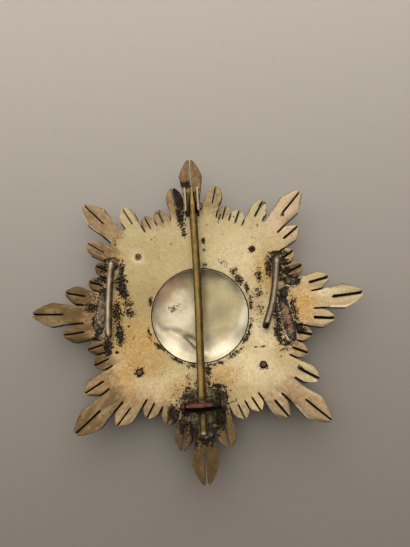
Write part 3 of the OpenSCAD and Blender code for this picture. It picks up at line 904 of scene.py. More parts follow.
def dish_finish():
    """Polished gilt, cloudy with age and marked by a few specks, with painted highlights, painted shade and a
    painted dark reflection.
    """
    f = Finish("polished_dish", DISH_GILT)
    cloud, fine, speck = f.grain(5, 4, 0.6, 0.3), f.grain(0.4, 4, 0.7), f.speckle()
    f.lay(DISH_CLOUD, f.band(cloud, 0.35, 0.7))
    f.lay(DISH_OLIVE, f.ragged("olive", 0.6, cloud, 0.1, 0.9), 0.75)
    # Dark red on the upper left: tint and painted shade
    f.lay(DISH_RED, f.ragged("red", 0.8, cloud, 0.15, 0.9), 0.75)
    # Painted highlights along the lower rim
    f.lay(DISH_SHINE, f.band("shine", 0.1, 0.8), 0.8)
    # Painted shade, and a painted dark reflection across the lower left
    f.lay(DISH_SHADE, f.band("shade", 0.1, 0.9), 0.8)
    mark = f.ragged("marks", 2.2, speck, 0.62, 0.78)
    f.lay(DISH_MARK, mark, 0.8)
    crevice = f.ragged("crevice", 1.0, speck, 0.5, 0.8)
    f.lay(star().black, crevice)
    scratch = f.grain(0.12, 2, 0.5, 0, f.stretched(1, 0.05, 1))
    rough = f.plus(f.band(cloud, 0.3, 0.7, 0.19, 0.28), f.times(mark, 0.3))
    low = f.bump(f.plus(f.times(fine, 0.4), f.times(scratch, 0.3)), 0.008)
    return f.finished(Roughness=rough, Metallic=f.band(crevice, 0, 1, 0.97, 0.2), Normal=low)


# Colour of the painted highlight on the end of the wire stub
WIRE_END_HIGHLIGHT = (0.86, 0.76, 0.56)

# Metals of the hinge: colour, colour of the tarnish, least roughness, dirt
METALS = {
    "ear_copper": ((0.17, 0.078, 0.06), (0.025, 0.014, 0.01), 0.24, 0.6),
    "stub_brass": ((0.24, 0.17, 0.07), (0.04, 0.028, 0.012), 0.3, 0.6),
    "rod_copper": ((0.24, 0.12, 0.08), (0.03, 0.015, 0.01), 0.3, 0.6),
    "barrel_copper": ((0.19, 0.078, 0.06), (0.018, 0.008, 0.006), 0.14, 0.7),
}


def wire_finish(name, colour, dark, shine, dirt):
    """Worn wire: dark in its grain and under tarnish, with painted shade along it and a painted highlight
    where marked.
    """
    f = Finish(name, colour)
    grain = f.grain(0.45, 4, 0.65, 0, f.stretched(1, 0.08, 1))
    patch, fine = f.grain(2.2, 4, 0.6), f.grain(0.3, 4, 0.7)
    f.lay(tinted(colour, 0.7), f.band(patch, 0.35, 0.7))
    f.lay(dark, f.band(grain, 0.45, 0.7), dirt)
    f.lay(dark, f.band(fine, 0.58, 0.7), dirt)
    # Painted shade along the wire, where the shade stain is marked
    f.lay(dark, "shade", f.band(patch, 0.3, 0.6, 0.65, 0.95))
    # Painted highlight, marked on the stub's end
    f.lay(WIRE_END_HIGHLIGHT, "rubbed")
    black = f.ragged("black", 1.6, f.speckle(), 0.4, 0.8)
    f.lay(star().black, black)
    rough = f.plus(f.band(grain, 0.3, 0.8, shine, shine + 0.22), f.times(black, 0.25))
    return f.finished(Roughness=rough, Metallic=f.band(black, 0, 1, 0.92, 0.3), Specular_IOR_Level=0.2,
                      Normal=f.bump(f.plus(grain, f.times(fine, 0.5)), 0.03))


def crust_finish(name, colour, cover, glint=(0.78, 0.58, 0.34), shine=0.36, lumpy=0.14):
    """Lumpy solder under black tarnish that thickens towards its border, with painted glints on fine ridges.
    """
    f = Finish(name, star().black)
    lumps, fine = f.grain(1.1, 5, 0.7, 0.5), f.grain(0.35, 5, 0.7)
    border = f.band("border", 0.25, 0.95, 0, -0.28)
    shown = f.band(f.plus(lumps, f.times(fine, 0.25), border), cover, cover + 0.12)
    f.lay(f.mix(f.even(f.grain(0.6, 5, 0.7, 0.8)), tinted(colour, 1.5), tinted(colour, 0.4)), shown)
    f.lay(star().black, f.threads(f.grain(1.4, 4, 0.7, 0.8), 0.035))
    # Painted glints on fine ridges
    f.lay(glint, f.threads(f.grain(1.0, 4, 0.7, 1.2), 0.03), f.band(f.grain(2.4, 2), 0.45, 0.6, 0, 0.95))
    return f.finished(Roughness=f.band(fine, 0.3, 0.8, shine, 0.6), Metallic=f.band(shown, 0, 1, 0.4, 0.88),
                      Normal=f.bump(f.plus(lumps, f.times(fine, 0.6)), lumpy))


# Colours of the catch

CATCH_DARK = (0.075, 0.055, 0.028)
CATCH_BROWN = (0.19, 0.14, 0.07)
CATCH_TOP_EDGE = (0.60, 0.48, 0.30)


def catch_finish():
    """Dark channel whose upper edges are lighter."""
    f = Finish("catch_metal", CATCH_DARK)
    patch, fine = f.grain(1.2, 4, 0.7), f.grain(0.3, 4, 0.7)
    f.lay(CATCH_BROWN, f.band(patch, 0.4, 0.65))
    f.lay(star().black, f.band(fine, 0.5, 0.7, 0, 0.7))
    upper = f.band(f.part("Z", f.place), 9 * MM, 9.5 * MM)
    # Upper faces of the walls made lighter
    f.lay(CATCH_TOP_EDGE, f.band(f.upward(), 0.3, 0.8), f.band(patch, 0.3, 0.5, 0.5, 1), upper, 0.8)
    return f.finished(Roughness=f.band(fine, 0.3, 0.8, 0.32, 0.55), Metallic=0.85,
                      Normal=f.bump(f.plus(patch, fine), 0.05))


# Pieces


class BREASTSTAR_OT_plate(bpy.types.Operator):
    """Builds the vaulted plate with its forty sawn rays"""
    bl_idname = "breast_star.plate"
    bl_label = "Rayed Plate"

    columns = 7
    hub_rows = 15
    # Marks on the points: grime and painted shade in the cuts, dark rims, a painted highlight on rims that
    # face the bottom, and how far the front stands in
    marks = ("grime_and_shade", "rim", "lit", "inset_x", "inset_y")
    # Shares of the star's radius: over which a rim fades in, and where the brown of each kind of ray starts
    fade = 0.03
    stain_start = (0.57, 0.6, 0.63)

    def execute(self, context):
        points, faces = [], []
        width = self.columns + 1
        for i in range(RAY_COUNT):
            for side in (-1, 1):
                start = len(points)
                points += self.hub_half(i, side) + self.ray_half(i, side)
                for row in range(start, len(points) - width, width):
                    faces += [(k, k + 1, k + width + 1, k + width) for k in range(row, row + self.columns)]
        mesh = mesh_from("rayed_plate", [p[:3] for p in points], faces)
        for name, values in zip(self.marks, list(zip(*points))[3:]):
            mesh.attributes.new(name, "FLOAT", "POINT").data.foreach_set("value", values)
        self.thicken(mesh)
        piece = link_piece("rayed_plate", mesh, "star_plate")
        soften(piece, 0.12, 2, 42)
        piece.modifiers.new("flat_faces", "WEIGHTED_NORMAL").keep_sharp = True
        mesh = apply_modifiers(piece)
        paint(mesh, black=BLACK_SPOTS, warm=WARM_SPOTS, pale=PALE_SPOTS, copper=COPPER_SPOTS, dull=DULL_SPOTS,
              rosy=ROSY_SPOTS, brown=self.ray_stain, ray_across=self.ray_across, ray_along=self.ray_along)
        mesh.materials.append(gilt_finish())
        return {"FINISHED"}

    def hub_half(self, i, side):
        """Rows of points from the dish's hole to a ray's root, each point with its marks."""
        hole = Vector((in_mm(dish().offset_x), in_mm(dish().offset_y)))
        hole_radius = in_mm(dish().radius) + HOLE_PLAY
        points = []
        for k in range(self.hub_rows):
            for c in range(self.columns + 1):
                root = Vector(self.across(i, side, ROOT_SHARE, c / self.columns))
                edge = hole + (root - hole).normalized() * hole_radius
                x, y = edge.lerp(root, k / self.hub_rows)
                grime_and_shade = 0.8 if k == 0 else 0
                points.append((*self.raised(x, y, i, side, 0, 0), grime_and_shade, 0, 0, 0, 0))
        return points

    def ray_half(self, i, side):
        """Rows of points from a ray's root to its tip, each point with its marks."""
        end = cut_end(i, side)
        points = []
        for along in row_shares():
            if along > ray_reach(i) + 1e-6:
                break
            outside = smooth_step(end, end + self.fade, along)
            tip = smooth_step(ray_reach(i) - self.fade, ray_reach(i), along)
            for c in range(self.columns + 1):
                share = c / self.columns
                in_slit = c == 0 and along > KIND_SLIT[ray_kind(i)]
                in_cut = c == self.columns and cut_start(i, side) <= along <= end
                # Grime and painted shade along the edges of slits and cuts
                grime_and_shade = 1 if in_slit or in_cut else 0
                rim = max(share ** 5 * outside, 0.5 * tip)
                lit = max(0, -cos(radians(i * RAY_STEP + side * 90))) * share ** 5 * outside
                inset = [way * MM for way in narrowed(i, side, along, in_slit, in_cut)]
                place = self.across(i, side, along, share)
                points.append((*self.raised(*place, i, side, along, share), grime_and_shade, rim, lit, *inset))
        return points

    def thicken(self, mesh):
        """Welds the half rays, and adds the front face and the walls of cuts that narrow towards it."""
        ball = vault_radius() * MM
        bm = bmesh.new()
        bm.from_mesh(mesh)
        bmesh.ops.remove_doubles(bm, verts=bm.verts, dist=0.02 * MM)
        bmesh.ops.recalc_face_normals(bm, faces=bm.faces)
        if sum(face.normal.z for face in bm.faces) < 0:
            bmesh.ops.reverse_faces(bm, faces=bm.faces)
        rims = [edge.link_loops[0] for edge in bm.edges if edge.is_boundary]
        layers = {name: bm.verts.layers.float[name] for name in self.marks}
        under = {}
        for v in list(bm.verts):
            lean = sqrt(1 - v.co.xy.length_squared / ball ** 2)
            inward = Vector((v[layers["inset_x"]], v[layers["inset_y"]], 0))
            under[v] = bm.verts.new(v.co + inward - Vector((0, 0, star().thickness / lean)))
            for layer in layers.values():
                under[v][layer] = v[layer]
        for face in list(bm.faces):
            bm.faces.new([under[v] for v in reversed(face.verts)])
        for loop in rims:
            a, b = loop.vert, loop.link_loop_next.vert
            bm.faces.new((b, a, under[a], under[b]))
        for face in bm.faces:
            face.smooth = True
        bm.to_mesh(mesh)
        bm.free()

    def across(self, i, side, along, share):
        middle, edge = middle_point(i, side, along), edge_point(i, side, along)
        return middle[0] + (edge[0] - middle[0]) * share, middle[1] + (edge[1] - middle[1]) * share

    def raised(self, x, y, i, side, along, across):
        return x, y, back_at(x, y) + relief(x, y, i, side, along, across)

    def ray_of(self, x, y):
        return np.round(np.degrees(np.arctan2(x, y)) / RAY_STEP).astype(int) % RAY_COUNT

    def ray_stain(self, x, y):
        """Brown of the rays beyond the hub, each with its own amount."""
        ray = self.ray_of(x, y)
        amount = np.array([by_ray(RAY_BROWN, i) for i in range(RAY_COUNT)])
        start = np.array([self.stain_start[ray_kind(i)] for i in range(RAY_COUNT)])
        share = np.hypot(x, y) / in_mm(star().radius)
        return amount[ray] * np.clip((share - start[ray]) / 0.1, 0, 1)

    def ray_across(self, x, y):
        """Place across the nearest ray, for marks drawn along it."""
        bearing = np.radians(self.ray_of(x, y) * RAY_STEP)
        return (x * np.cos(bearing) - y * np.sin(bearing)) * MM

    def ray_along(self, x, y):
        """Shortened place along the nearest ray, set apart from the other rays' places."""
        return (np.hypot(x, y) * 0.16 + self.ray_of(x, y) * 7) * MM


class BREASTSTAR_OT_dish(bpy.types.Operator):
    """Builds the polished dish in the middle"""
    bl_idname = "breast_star.dish"
    bl_label = "Centre Dish"

    wall = 0.8
    collar = 1.3
    lip = 0.35
    sides = 144
    #     Stains in mm from the star's centre, as on the plate: shine is painted highlight, shade is painted
    #     shade with a painted dark reflection, red is a dark red tint with painted shade on the upper left
    stains = {
        "red": ((-9.0, 6.0, 2.2, 7.5, -40, 1.0), (-5.0, 7.6, 2.6, 1.6, 0, 0.7), (1.6, 2.0, 0.9, 6.0, 0, 0.4)),
        "shine": ((11.5, -3.8, 0.8, 3.2, -14, 0.9), (9.4, -7.6, 1.1, 3.0, -42, 1.0),
                  (5.4, -10.6, 3.4, 1.3, 22, 1.0), (1.6, -11.6, 1.6, 0.9, 0, 0.6),
                  (-7.6, -8.6, 2.2, 1.3, -40, 0.9)),
        "olive": ((5.6, 2.4, 5.2, 8.0, 0, 0.95), (-1.0, 8.5, 7.0, 3.0, 0, 0.7),
                  (-3.0, -9.0, 3.0, 2.0, 0, 0.4)),
        "shade": ((-8.6, -4.6, 2.0, 0.7, 5, 0.7), (-6.0, -5.0, 2.2, 0.9, -20, 0.9),
                  (-3.4, -6.8, 1.9, 1.2, -42, 0.95), (-2.0, -9.0, 0.9, 2.2, 10, 0.9),
                  (-2.4, -11.4, 1.4, 1.6, 0, 0.6), (7.0, -0.6, 4.4, 3.6, 0, 0.62),
                  (-3.2, -9.0, 2.0, 3.0, 0, 0.62), (2.6, -7.4, 2.0, 1.6, 0, 0.45),
                  (6.0, -5.6, 3.2, 1.6, 20, 0.5), (6.0, 8.6, 4.5, 2.0, -35, 0.3)),
        "marks": ((-6.8, 1.2, 1.6, 1.2, 0, 0.8), (-5.4, 2.2, 1.0, 0.8, 0, 0.75),
                  (-7.2, 0.2, 0.7, 0.5, 0, 0.8), (2.1, 9.8, 0.6, 0.6, 0, 0.8),
                  (2.4, 7.6, 0.5, 0.9, 0, 0.75), (-4.6, 0.6, 1.2, 0.6, 0, 0.6),
                  (2.0, -7.5, 0.4, 2.0, 0, 0.6), (6.0, 9.0, 2.0, 1.0, 0, 0.35)),
    }

    def section(self):
        """Radius and height along the dish's section, from its middle over the rim to the middle below."""
        radius, depth = in_mm(dish().radius), in_mm(dish().depth)
        ball = (radius ** 2 + depth ** 2) / (2 * depth)
        rim_z = back_at(radius, 0)
        ball_z = rim_z - depth + ball
        inner = radius - self.lip
        line = [(inner * k / 44, ball_z - sqrt(ball ** 2 - (inner * k / 44) ** 2)) for k in range(45)]
        turn_z = line[-1][1]
        for k in range(1, 7):
            a = pi / 2 * k / 6
            line.append((inner + self.lip * sin(a), turn_z + 0.12 * sin(2 * a) - 0.25 * (1 - cos(a))))
        line.append((radius, rim_z - self.collar))
        outer = ball + self.wall
        foot = sqrt(outer ** 2 - (ball_z - rim_z + self.collar) ** 2)
        below = [foot * (1 - k / 30) for k in range(31)]
        return line + [(r, ball_z - sqrt(outer ** 2 - r ** 2)) for r in below]

    def dent(self, x, y):
        """Hollows and swellings left by use, in mm, about the dish's own middle."""
        height = 0.03 * noise.noise(Vector((x, y, 3)) / 4)
        out, bearing = hypot(x, y), degrees(atan2(y, x)) % 360
        crest = 7.8 + 1.9 * ((bearing - 236) / 30) ** 2
        height += 0.36 * np.exp(-((out - crest) / 1.25) ** 2 - ((bearing - 232) / 32) ** 2)
        height -= 0.10 * np.exp(-(((x + 5.0) / 3.0) ** 2 + ((y - 1.0) / 3.5) ** 2))
        radius = in_mm(dish().radius)
        return height * smooth_step(radius - 0.4, radius - 1.5, out)

    def execute(self, context):
        cx, cy = in_mm(dish().offset_x), in_mm(dish().offset_y)
        seam = in_mm(dish().radius) - 0.45
        section = self.section()
        points = []
        for radius, z in section:
            for s in range(self.sides):
                a = 2 * pi * s / self.sides
                x, y = radius * cos(a), radius * sin(a)
                points.append((cx + x, cy + y, z + self.dent(x, y)))
        shape = points, bands(len(section), self.sides)
        mesh = add_piece("polished_dish", shape, "centre_dish", weld=0.005)
        paint(mesh, **self.stains,
              crevice=lambda x, y: np.clip((np.hypot(x - cx, y - cy) - seam) / self.lip, 0, 1))
        mesh.materials.append(dish_finish())
        return {"FINISHED"}


class BREASTSTAR_OT_badge(bpy.types.Operator):
    """Finishes the plain badge on the hidden front"""
    bl_idname = "breast_star.badge"
    bl_label = "Front Badge"

    def execute(self, context):
        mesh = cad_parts["front_badge"].data
        paint(mesh, pale=((0.4, -1.4, 9.0, 9.0, 0, 0.8),), warm=((6.0, 4.0, 14.0, 12.0, 20, 0.7),),
              black=((14.0, -13.0, 2.5, 1.5, 40, 0.6),))
        mesh.materials.clear()
        mesh.materials.append(bpy.data.materials["old_gilding"])
        return {"FINISHED"}


class BREASTSTAR_OT_rivets(bpy.types.Operator):
    """Builds the ends of the four rivets, hammered flat"""
    bl_idname = "breast_star.rivets"
    bl_label = "Rivets"

    inset = 2.7
    sides = 32
    tarnish = (0.015, 0.010, 0.007)
    # Node: degrees clockwise from the top, colour of its head, radius of the dark ring on it
    rivets = {
        "rivet_top_left": (-45, (0.62, 0.50, 0.30), 0.42),
        "rivet_top_right": (45, (0.13, 0.08, 0.035), 0.3),
        "rivet_bottom_left": (-135, (0.20, 0.12, 0.075), 0.76),
        "rivet_bottom_right": (135, (0.14, 0.07, 0.045), 0.76),
    }
    # Radius and height from the middle of the back end, down the shank, to the middle of the front end
    section = ((0, 0.34), (0.3, 0.36), (0.55, 0.33), (0.8, 0.26), (0.93, 0.16), (0.95, 0.05), (0.6, -0.02),
               (0.6, -2.9), (0.95, -2.95), (0.93, -3.1), (0.7, -3.2), (0, -3.22))

    def dark_ring(self, middle, radius):
        def ring(x, y):
            out = np.hypot(x - middle.x, y - middle.y)
            return 1.5 * np.exp(-((out - radius) / 0.17) ** 2)
        return ring

    def head(self, place, seed):
        points = []
        for radius, z in self.section:
            for s in range(self.sides):
                x, y = cos(2 * pi * s / self.sides), sin(2 * pi * s / self.sides)
                bent = radius * (1 + 0.07 * noise.noise(Vector((x, y, seed + radius))))
                tilt = 0.05 * noise.noise(Vector((x * radius, y * radius, seed * 5.0))) if z > 0 else 0
                points.append(place @ Vector((bent * x, bent * y, z + tilt)))
        return points, bands(len(self.section), self.sides)

    def execute(self, context):
        ring = BADGE_RADIUS - self.inset
        for seed, (node, (bearing, colour, dark)) in enumerate(self.rivets.items()):
            place = on_back(*turned(0, ring, bearing))
            mesh = add_piece(node + "_head", self.head(place, seed), node)
            paint(mesh, black=self.dark_ring(place.translation, dark))
            mesh.materials.append(wire_finish(node + "_metal", colour, self.tarnish, 0.38, 0.6))
        return {"FINISHED"}


class BREASTSTAR_OT_hooks(bpy.types.Operator):
    """Builds the two wire hooks at the sides"""
    bl_idname = "breast_star.hooks"
    bl_label = "Side Hooks"

    height = 3.0
    bend = 1.9
    lift = 3.0
    tarnish = (0.10, 0.07, 0.045)
    #     Name: foot x and y, length, degrees turned, sideways bow, brightness, place of its line of painted
    #         shade
    hooks = {
        "hook_left": (-22.8, 13.5, 20.4, 2.2, -0.25, 1.0, -0.05),
        "hook_right": (22.1, 11.6, 19.1, 14.8, 0.8, 0.8, 0.3),
    }
    stains = ((-22.8, 14.4, 1.6, 1.0, 0, 0.8), (-23.0, 11.0, 0.5, 3.0, 0, 0.3),
              (22.2, 12.6, 1.6, 1.2, 0, 0.75), (17.2, -6.4, 1.0, 0.9, 0, 0.95),
              (-23.9, -6.4, 1.2, 0.6, 0, 0.8), (21.0, 6.0, 0.4, 4.0, -8, 0.3))

    def line(self, length, bow):
        """Middle line of a hook: a post, a bend, and a run towards -Y."""
        line = [Vector((0, 0, -0.4 + k * 0.3)) for k in range(5)]
        for k in range(1, 13):
            a = pi / 2 * k / 12
            z = self.height - self.bend + self.bend * sin(a)
            line.append(Vector((0, -self.bend * (1 - cos(a)), z)))
        for k in range(1, 41):
            t = k / 40
            line.append(Vector((bow * sin(pi * t), -self.bend - (length - self.bend) * t, self.height)))
        return line

    def radii(self, line, phase):
        """Radii of a hook, a little uneven and filed round at the free end."""
        ways = [0]
        for p, q in zip(line, line[1:]):
            ways.append(ways[-1] + (q - p).length)
        radius, end = in_mm(fittings().hook_radius), ways[-1]
        return [radius * (1 + 0.03 * sin(way * 0.9 + phase)) - filed(end - way, 0.3, 0.28) for way in ways]

    def streaks(self, place, length, bow, dark_line):
        """Painted shade on both sides of a hook, and a line of painted shade between its two lit ones."""
        start, ahead = place.translation, (place.to_3x3() @ Vector((0, -1, 0))).xy.normalized()

        def shade(x, y):
            along = (x - start.x) * ahead.x + (y - start.y) * ahead.y
            aside = (y - start.y) * ahead.x - (x - start.x) * ahead.y
            u = (aside - bow * np.sin(pi * np.clip(along / length, 0, 1))) / in_mm(fittings().hook_radius)
            return wire_painted_shade(u, dark_line, 0.16, 0.6, 0, 0.6)
        return shade

    def execute(self, context):
        for name, (x, y, length, turn, bow, bright, dark_line) in self.hooks.items():
            lifted = Matrix.Rotation(radians(-turn), 4, "Z") @ Matrix.Rotation(radians(-self.lift), 4, "X")
            place = on_back(x, y) @ lifted
            line = self.line(length, bow)
            points, faces = tube(line, self.radii(line, x), 28)
            mesh = add_piece(name, ([place @ p for p in points], faces))
            paint(mesh, black=self.stains, shade=self.streaks(place, length, bow, dark_line))
            colour = tinted(fittings().hook_metal, bright)
            mesh.materials.append(wire_finish(name + "_metal", colour, self.tarnish, 0.22, 0.5))
        return {"FINISHED"}


class BREASTSTAR_OT_solder(bpy.types.Operator):
    """Builds the cakes of solder by the hooks"""
    bl_idname = "breast_star.solder"
    bl_label = "Solder"

    # Name: colour, then its cakes: centre x, y, half width, half length, degrees turned, height, seed
    cakes = {
        "solder_strip_left": ((0.27, 0.18, 0.12), (-25.7, 1.0, 1.7, 7.2, -6, 0.1, 3)),
        "solder_strip_right": ((0.33, 0.16, 0.09), (23.2, -4.0, 1.8, 7.2, 8, 0.1, 5)),
        "solder_drops": ((0.075, 0.055, 0.038), (-22.9, 13.6, 1.8, 1.7, 0, 0.4, 4),
                         (22.1, 11.8, 1.8, 1.8, 0, 0.4, 6), (25.6, 5.6, 2.1, 1.1, -8, 0.45, 7),
                         (23.0, 2.4, 1.0, 1.3, 0, 0.35, 8), (-20.4, 6.6, 0.9, 1.1, 0, 0.3, 9)),
    }

    def execute(self, context):
        for name, (colour, *cakes) in self.cakes.items():
            mesh = add_piece(name, joined(*(crust(*cake) for cake in cakes)), sharp=60)
            paint(mesh, border=cake_edge(cakes))
            mesh.materials.append(crust_finish(name, colour, 0.47))
        return {"FINISHED"}


class BREASTSTAR_OT_hinge(bpy.types.Operator):
    """Builds the hinge's base, ears and wire stub, and finishes its rod"""
    bl_idname = "breast_star.hinge"
    bl_label = "Hinge"

    play = 0.1
    ear_thick = 1.1
    ear_radius = 1.3
    solder = (0.12, 0.088, 0.04)
    glint = (0.80, 0.62, 0.38)
    stub_radius = 0.8
    stub_lift = 0.85
    stub_length = 5.2
    stub_ends = ((-0.2, -26.5), (-0.3, -31.7))
    # Centre x, y, half width, half length, degrees turned, height, seed, and raggedness where it is unusual
    cakes = ((0, -24.9, 5.6, 4.9, 0, 0.3, 11, 0.2), (3.6, -22.9, 1.9, 1.9, 0, 0.8, 12),
             (4.2, -27.4, 1.4, 1.8, 0, 0.9, 13), (-3.6, -22.3, 1.7, 1.1, 0, 0.5, 14),
             (0.2, -30.9, 1.9, 1.6, 0, 0.35, 15), (-4.4, -28.0, 1.4, 1.2, 0, 0.6, 16))

    def ear(self, side, outer_share):
        """A slab with a round top, smaller on the outside, and a foot that spreads into the solder."""
        inside, thick, radius = BARREL_HALF + self.play, self.ear_thick, self.ear_radius
        foot = back_at(0, HINGE_Y) - 0.5 - HINGE_Z
        outline = [(radius * cos(pi * k / 16), radius * sin(pi * k / 16)) for k in range(17)]
        spread = ((radius + 0.15, foot + 1.2), (radius + 0.5, foot))
        outline += [(-v, z) for v, z in spread] + [(v, z) for v, z in reversed(spread)]
        layers = ((0, 0.9), (0.12, 1.0), (thick * 0.6, 0.5 + 0.5 * outer_share), (thick - 0.1, outer_share),
                  (thick, 0.85 * outer_share))
        points = []
        for layer, scale in layers:
            for v, z in outline:
                up = z * scale if z > 0 else z
                points.append(Vector((side * (inside + layer), HINGE_Y + v * scale, HINGE_Z + up)))
        return points, bands(len(layers), len(outline), capped=True)

    def stub(self):
        """Short wire soldered to the plate behind the hinge, filed round at both ends."""
        top, end = (Vector((x, y, back_at(0, y) + self.stub_lift)) for x, y in self.stub_ends)
        steps = range(21)
        line = [top.lerp(end, k / 20) for k in steps]
        radii = [self.stub_radius - filed(min(k, 20 - k) * self.stub_length / 20, 0.16, 0.16) for k in steps]
        return tube(line, radii, 24)

    def execute(self, context):
        seat = joined(*(crust(*cake) for cake in self.cakes), self.ear(1, 0.9))
        mesh = add_piece("hinge_seat", seat, sharp=55)
        mesh.materials.append(crust_finish("hinge_solder", self.solder, 0.55, self.glint, 0.2, 0.3))
        mesh = add_piece("hinge_ear_left", self.ear(-1, 0.55), sharp=55)
        mesh.materials.append(wire_finish("ear_copper", *METALS["ear_copper"]))
        mesh = add_piece("wire_stub", self.stub())
        # Painted highlight on the stub's lower end
        paint(mesh, rubbed=((-0.2, -31.5, 0.6, 0.3, 0, 1.0),))
        mesh.materials.append(wire_finish("stub_brass", *METALS["stub_brass"]))
        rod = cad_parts["hinge_rod"].data
        rod.materials.clear()
        rod.materials.append(wire_finish("rod_copper", *METALS["rod_copper"]))
        return {"FINISHED"}


class BREASTSTAR_OT_catch(bpy.types.Operator):
    """Builds the open channel that holds the pin's end"""
    bl_idname = "breast_star.catch"
    bl_label = "Catch"

    middle_y = 30
    half_length = 3.6
    play = 0.4
    wall = 0.5
    floor_z = HINGE_Z - 1.25
    top_z = HINGE_Z + 1.35
    rows = 12

    def execute(self, context):
        inner = in_mm(fittings().pin_radius) + self.play
        outer = inner + self.wall
        foot = back_at(0, self.middle_y - self.half_length) - 0.4
        half = [(outer, foot), (outer, self.top_z), (inner, self.top_z), (inner, self.floor_z)]
        section = [(-x, z) for x, z in half] + half[::-1]
        points = []
        for k in range(self.rows + 1):
            share = 2 * k / self.rows - 1
            y = self.middle_y + self.half_length * share
            for x, z in section:
                lean = rise = 0
                if z > self.floor_z:
                    lean = 0.07 * noise.noise(Vector((x, y * 0.4, 1))) + 0.12 * (x / outer) * abs(share) ** 3
                    rise = 0.1 * noise.noise(Vector((x, y * 0.6, 7)))
                points.append(Vector((x + lean, y, z + rise)))
        mesh = mesh_from("catch_channel", points, bands(self.rows + 1, len(section), capped=True))
        clean(mesh, 0.002, 38)
        piece = link_piece("catch_channel", mesh, "star_plate")
        soften(piece, 0.09, 3, 40)
        mesh = apply_modifiers(piece)
        mesh.set_sharp_from_angle(angle=radians(50))
        mesh.materials.append(catch_finish())
        return {"FINISHED"}


class BREASTSTAR_OT_pin(bpy.types.Operator):
    """Builds the long pin with its barrel"""
    bl_idname = "breast_star.pin"
    bl_label = "Pin"

    taper = 6.0
    point = 0.3
    tip = 0.12
    tarnish = (0.075, 0.045, 0.015)
    # Middle line of the wire, which use has bent a little: x, y
    bends = ((-0.15, HINGE_Y), (-0.1, -20.0), (0.0, -12.0), (0.2, -3.0), (0.32, 6.0), (0.3, 15.0),
             (0.22, 25.0), (0.12, PIN_END))
    wire_stains = ((-0.2, -23.4, 1.4, 1.0, 0, 0.75), (0.3, 30.0, 1.2, 3.5, 0, 0.3))
    barrel_stains = ((4.6, -25.1, 1.7, 3.0, 0, 1.5), (0.6, -24.2, 1.0, 0.5, 0, 0.5))

    def wire(self):
        """The wire: one thickness to near its end, and then thinner towards its point."""
        radius = in_mm(fittings().pin_radius)
        line = curve_through([(x, y, HINGE_Z) for x, y in self.bends], 120)
        radii = []
        for p in line:
            share = min(1, max(0, (PIN_END - p.y) / self.taper))
            radii.append(self.point + (radius - self.point) * share)
        radii[-1] = self.tip
        return tube(line, radii, 28)

    def streaks(self, x, y):
        """Painted shade on both sides of the wire, and a line of painted shade right of its middle."""
        bend_x, bend_y = zip(*self.bends)
        u = (x - np.interp(y, bend_y, bend_x)) / in_mm(fittings().pin_radius)
        return wire_painted_shade(u, 0.34, 0.17, 0.75, 0.08, 0.5)

    def barrel(self):
        """Barrel shaped like a lozenge, thickest left of the wire."""
        line, radii = [], []
        for k in range(41):
            t = -1 + 2 * k / 40
            line.append(Vector((BARREL_HALF * t, HINGE_Y, HINGE_Z)))
            swell = 1.37 - 0.32 * abs(t + 0.35) ** 1.8
            radii.append(swell * sqrt(1 - 0.5 * max(0, (abs(t) - 0.93) / 0.07) ** 2))
        return tube(line, radii, 32)

    def barrel_shade(self, x, y):
        """Painted shade on the barrel's sides, which closes in towards both its ends."""
        half = np.maximum(0.2, 1 - (np.abs(x + 0.7) / 4.4) ** 1.5)
        return np.clip((np.abs(y - HINGE_Y - 0.12) / half - 0.28) / 0.4, 0, 1)

    def execute(self, context):
        mesh = add_piece("brooch_wire", self.wire(), "brooch_pin", "pin")
        paint(mesh, black=self.wire_stains, shade=self.streaks)
        mesh.materials.append(wire_finish("pin_brass", fittings().brass, self.tarnish, 0.16, 0.5))
        mesh = add_piece("hinge_barrel", self.barrel(), "brooch_pin", "pin")
        paint(mesh, black=self.barrel_stains, shade=self.barrel_shade)
        mesh.materials.append(wire_finish("barrel_copper", *METALS["barrel_copper"]))
        return {"FINISHED"}


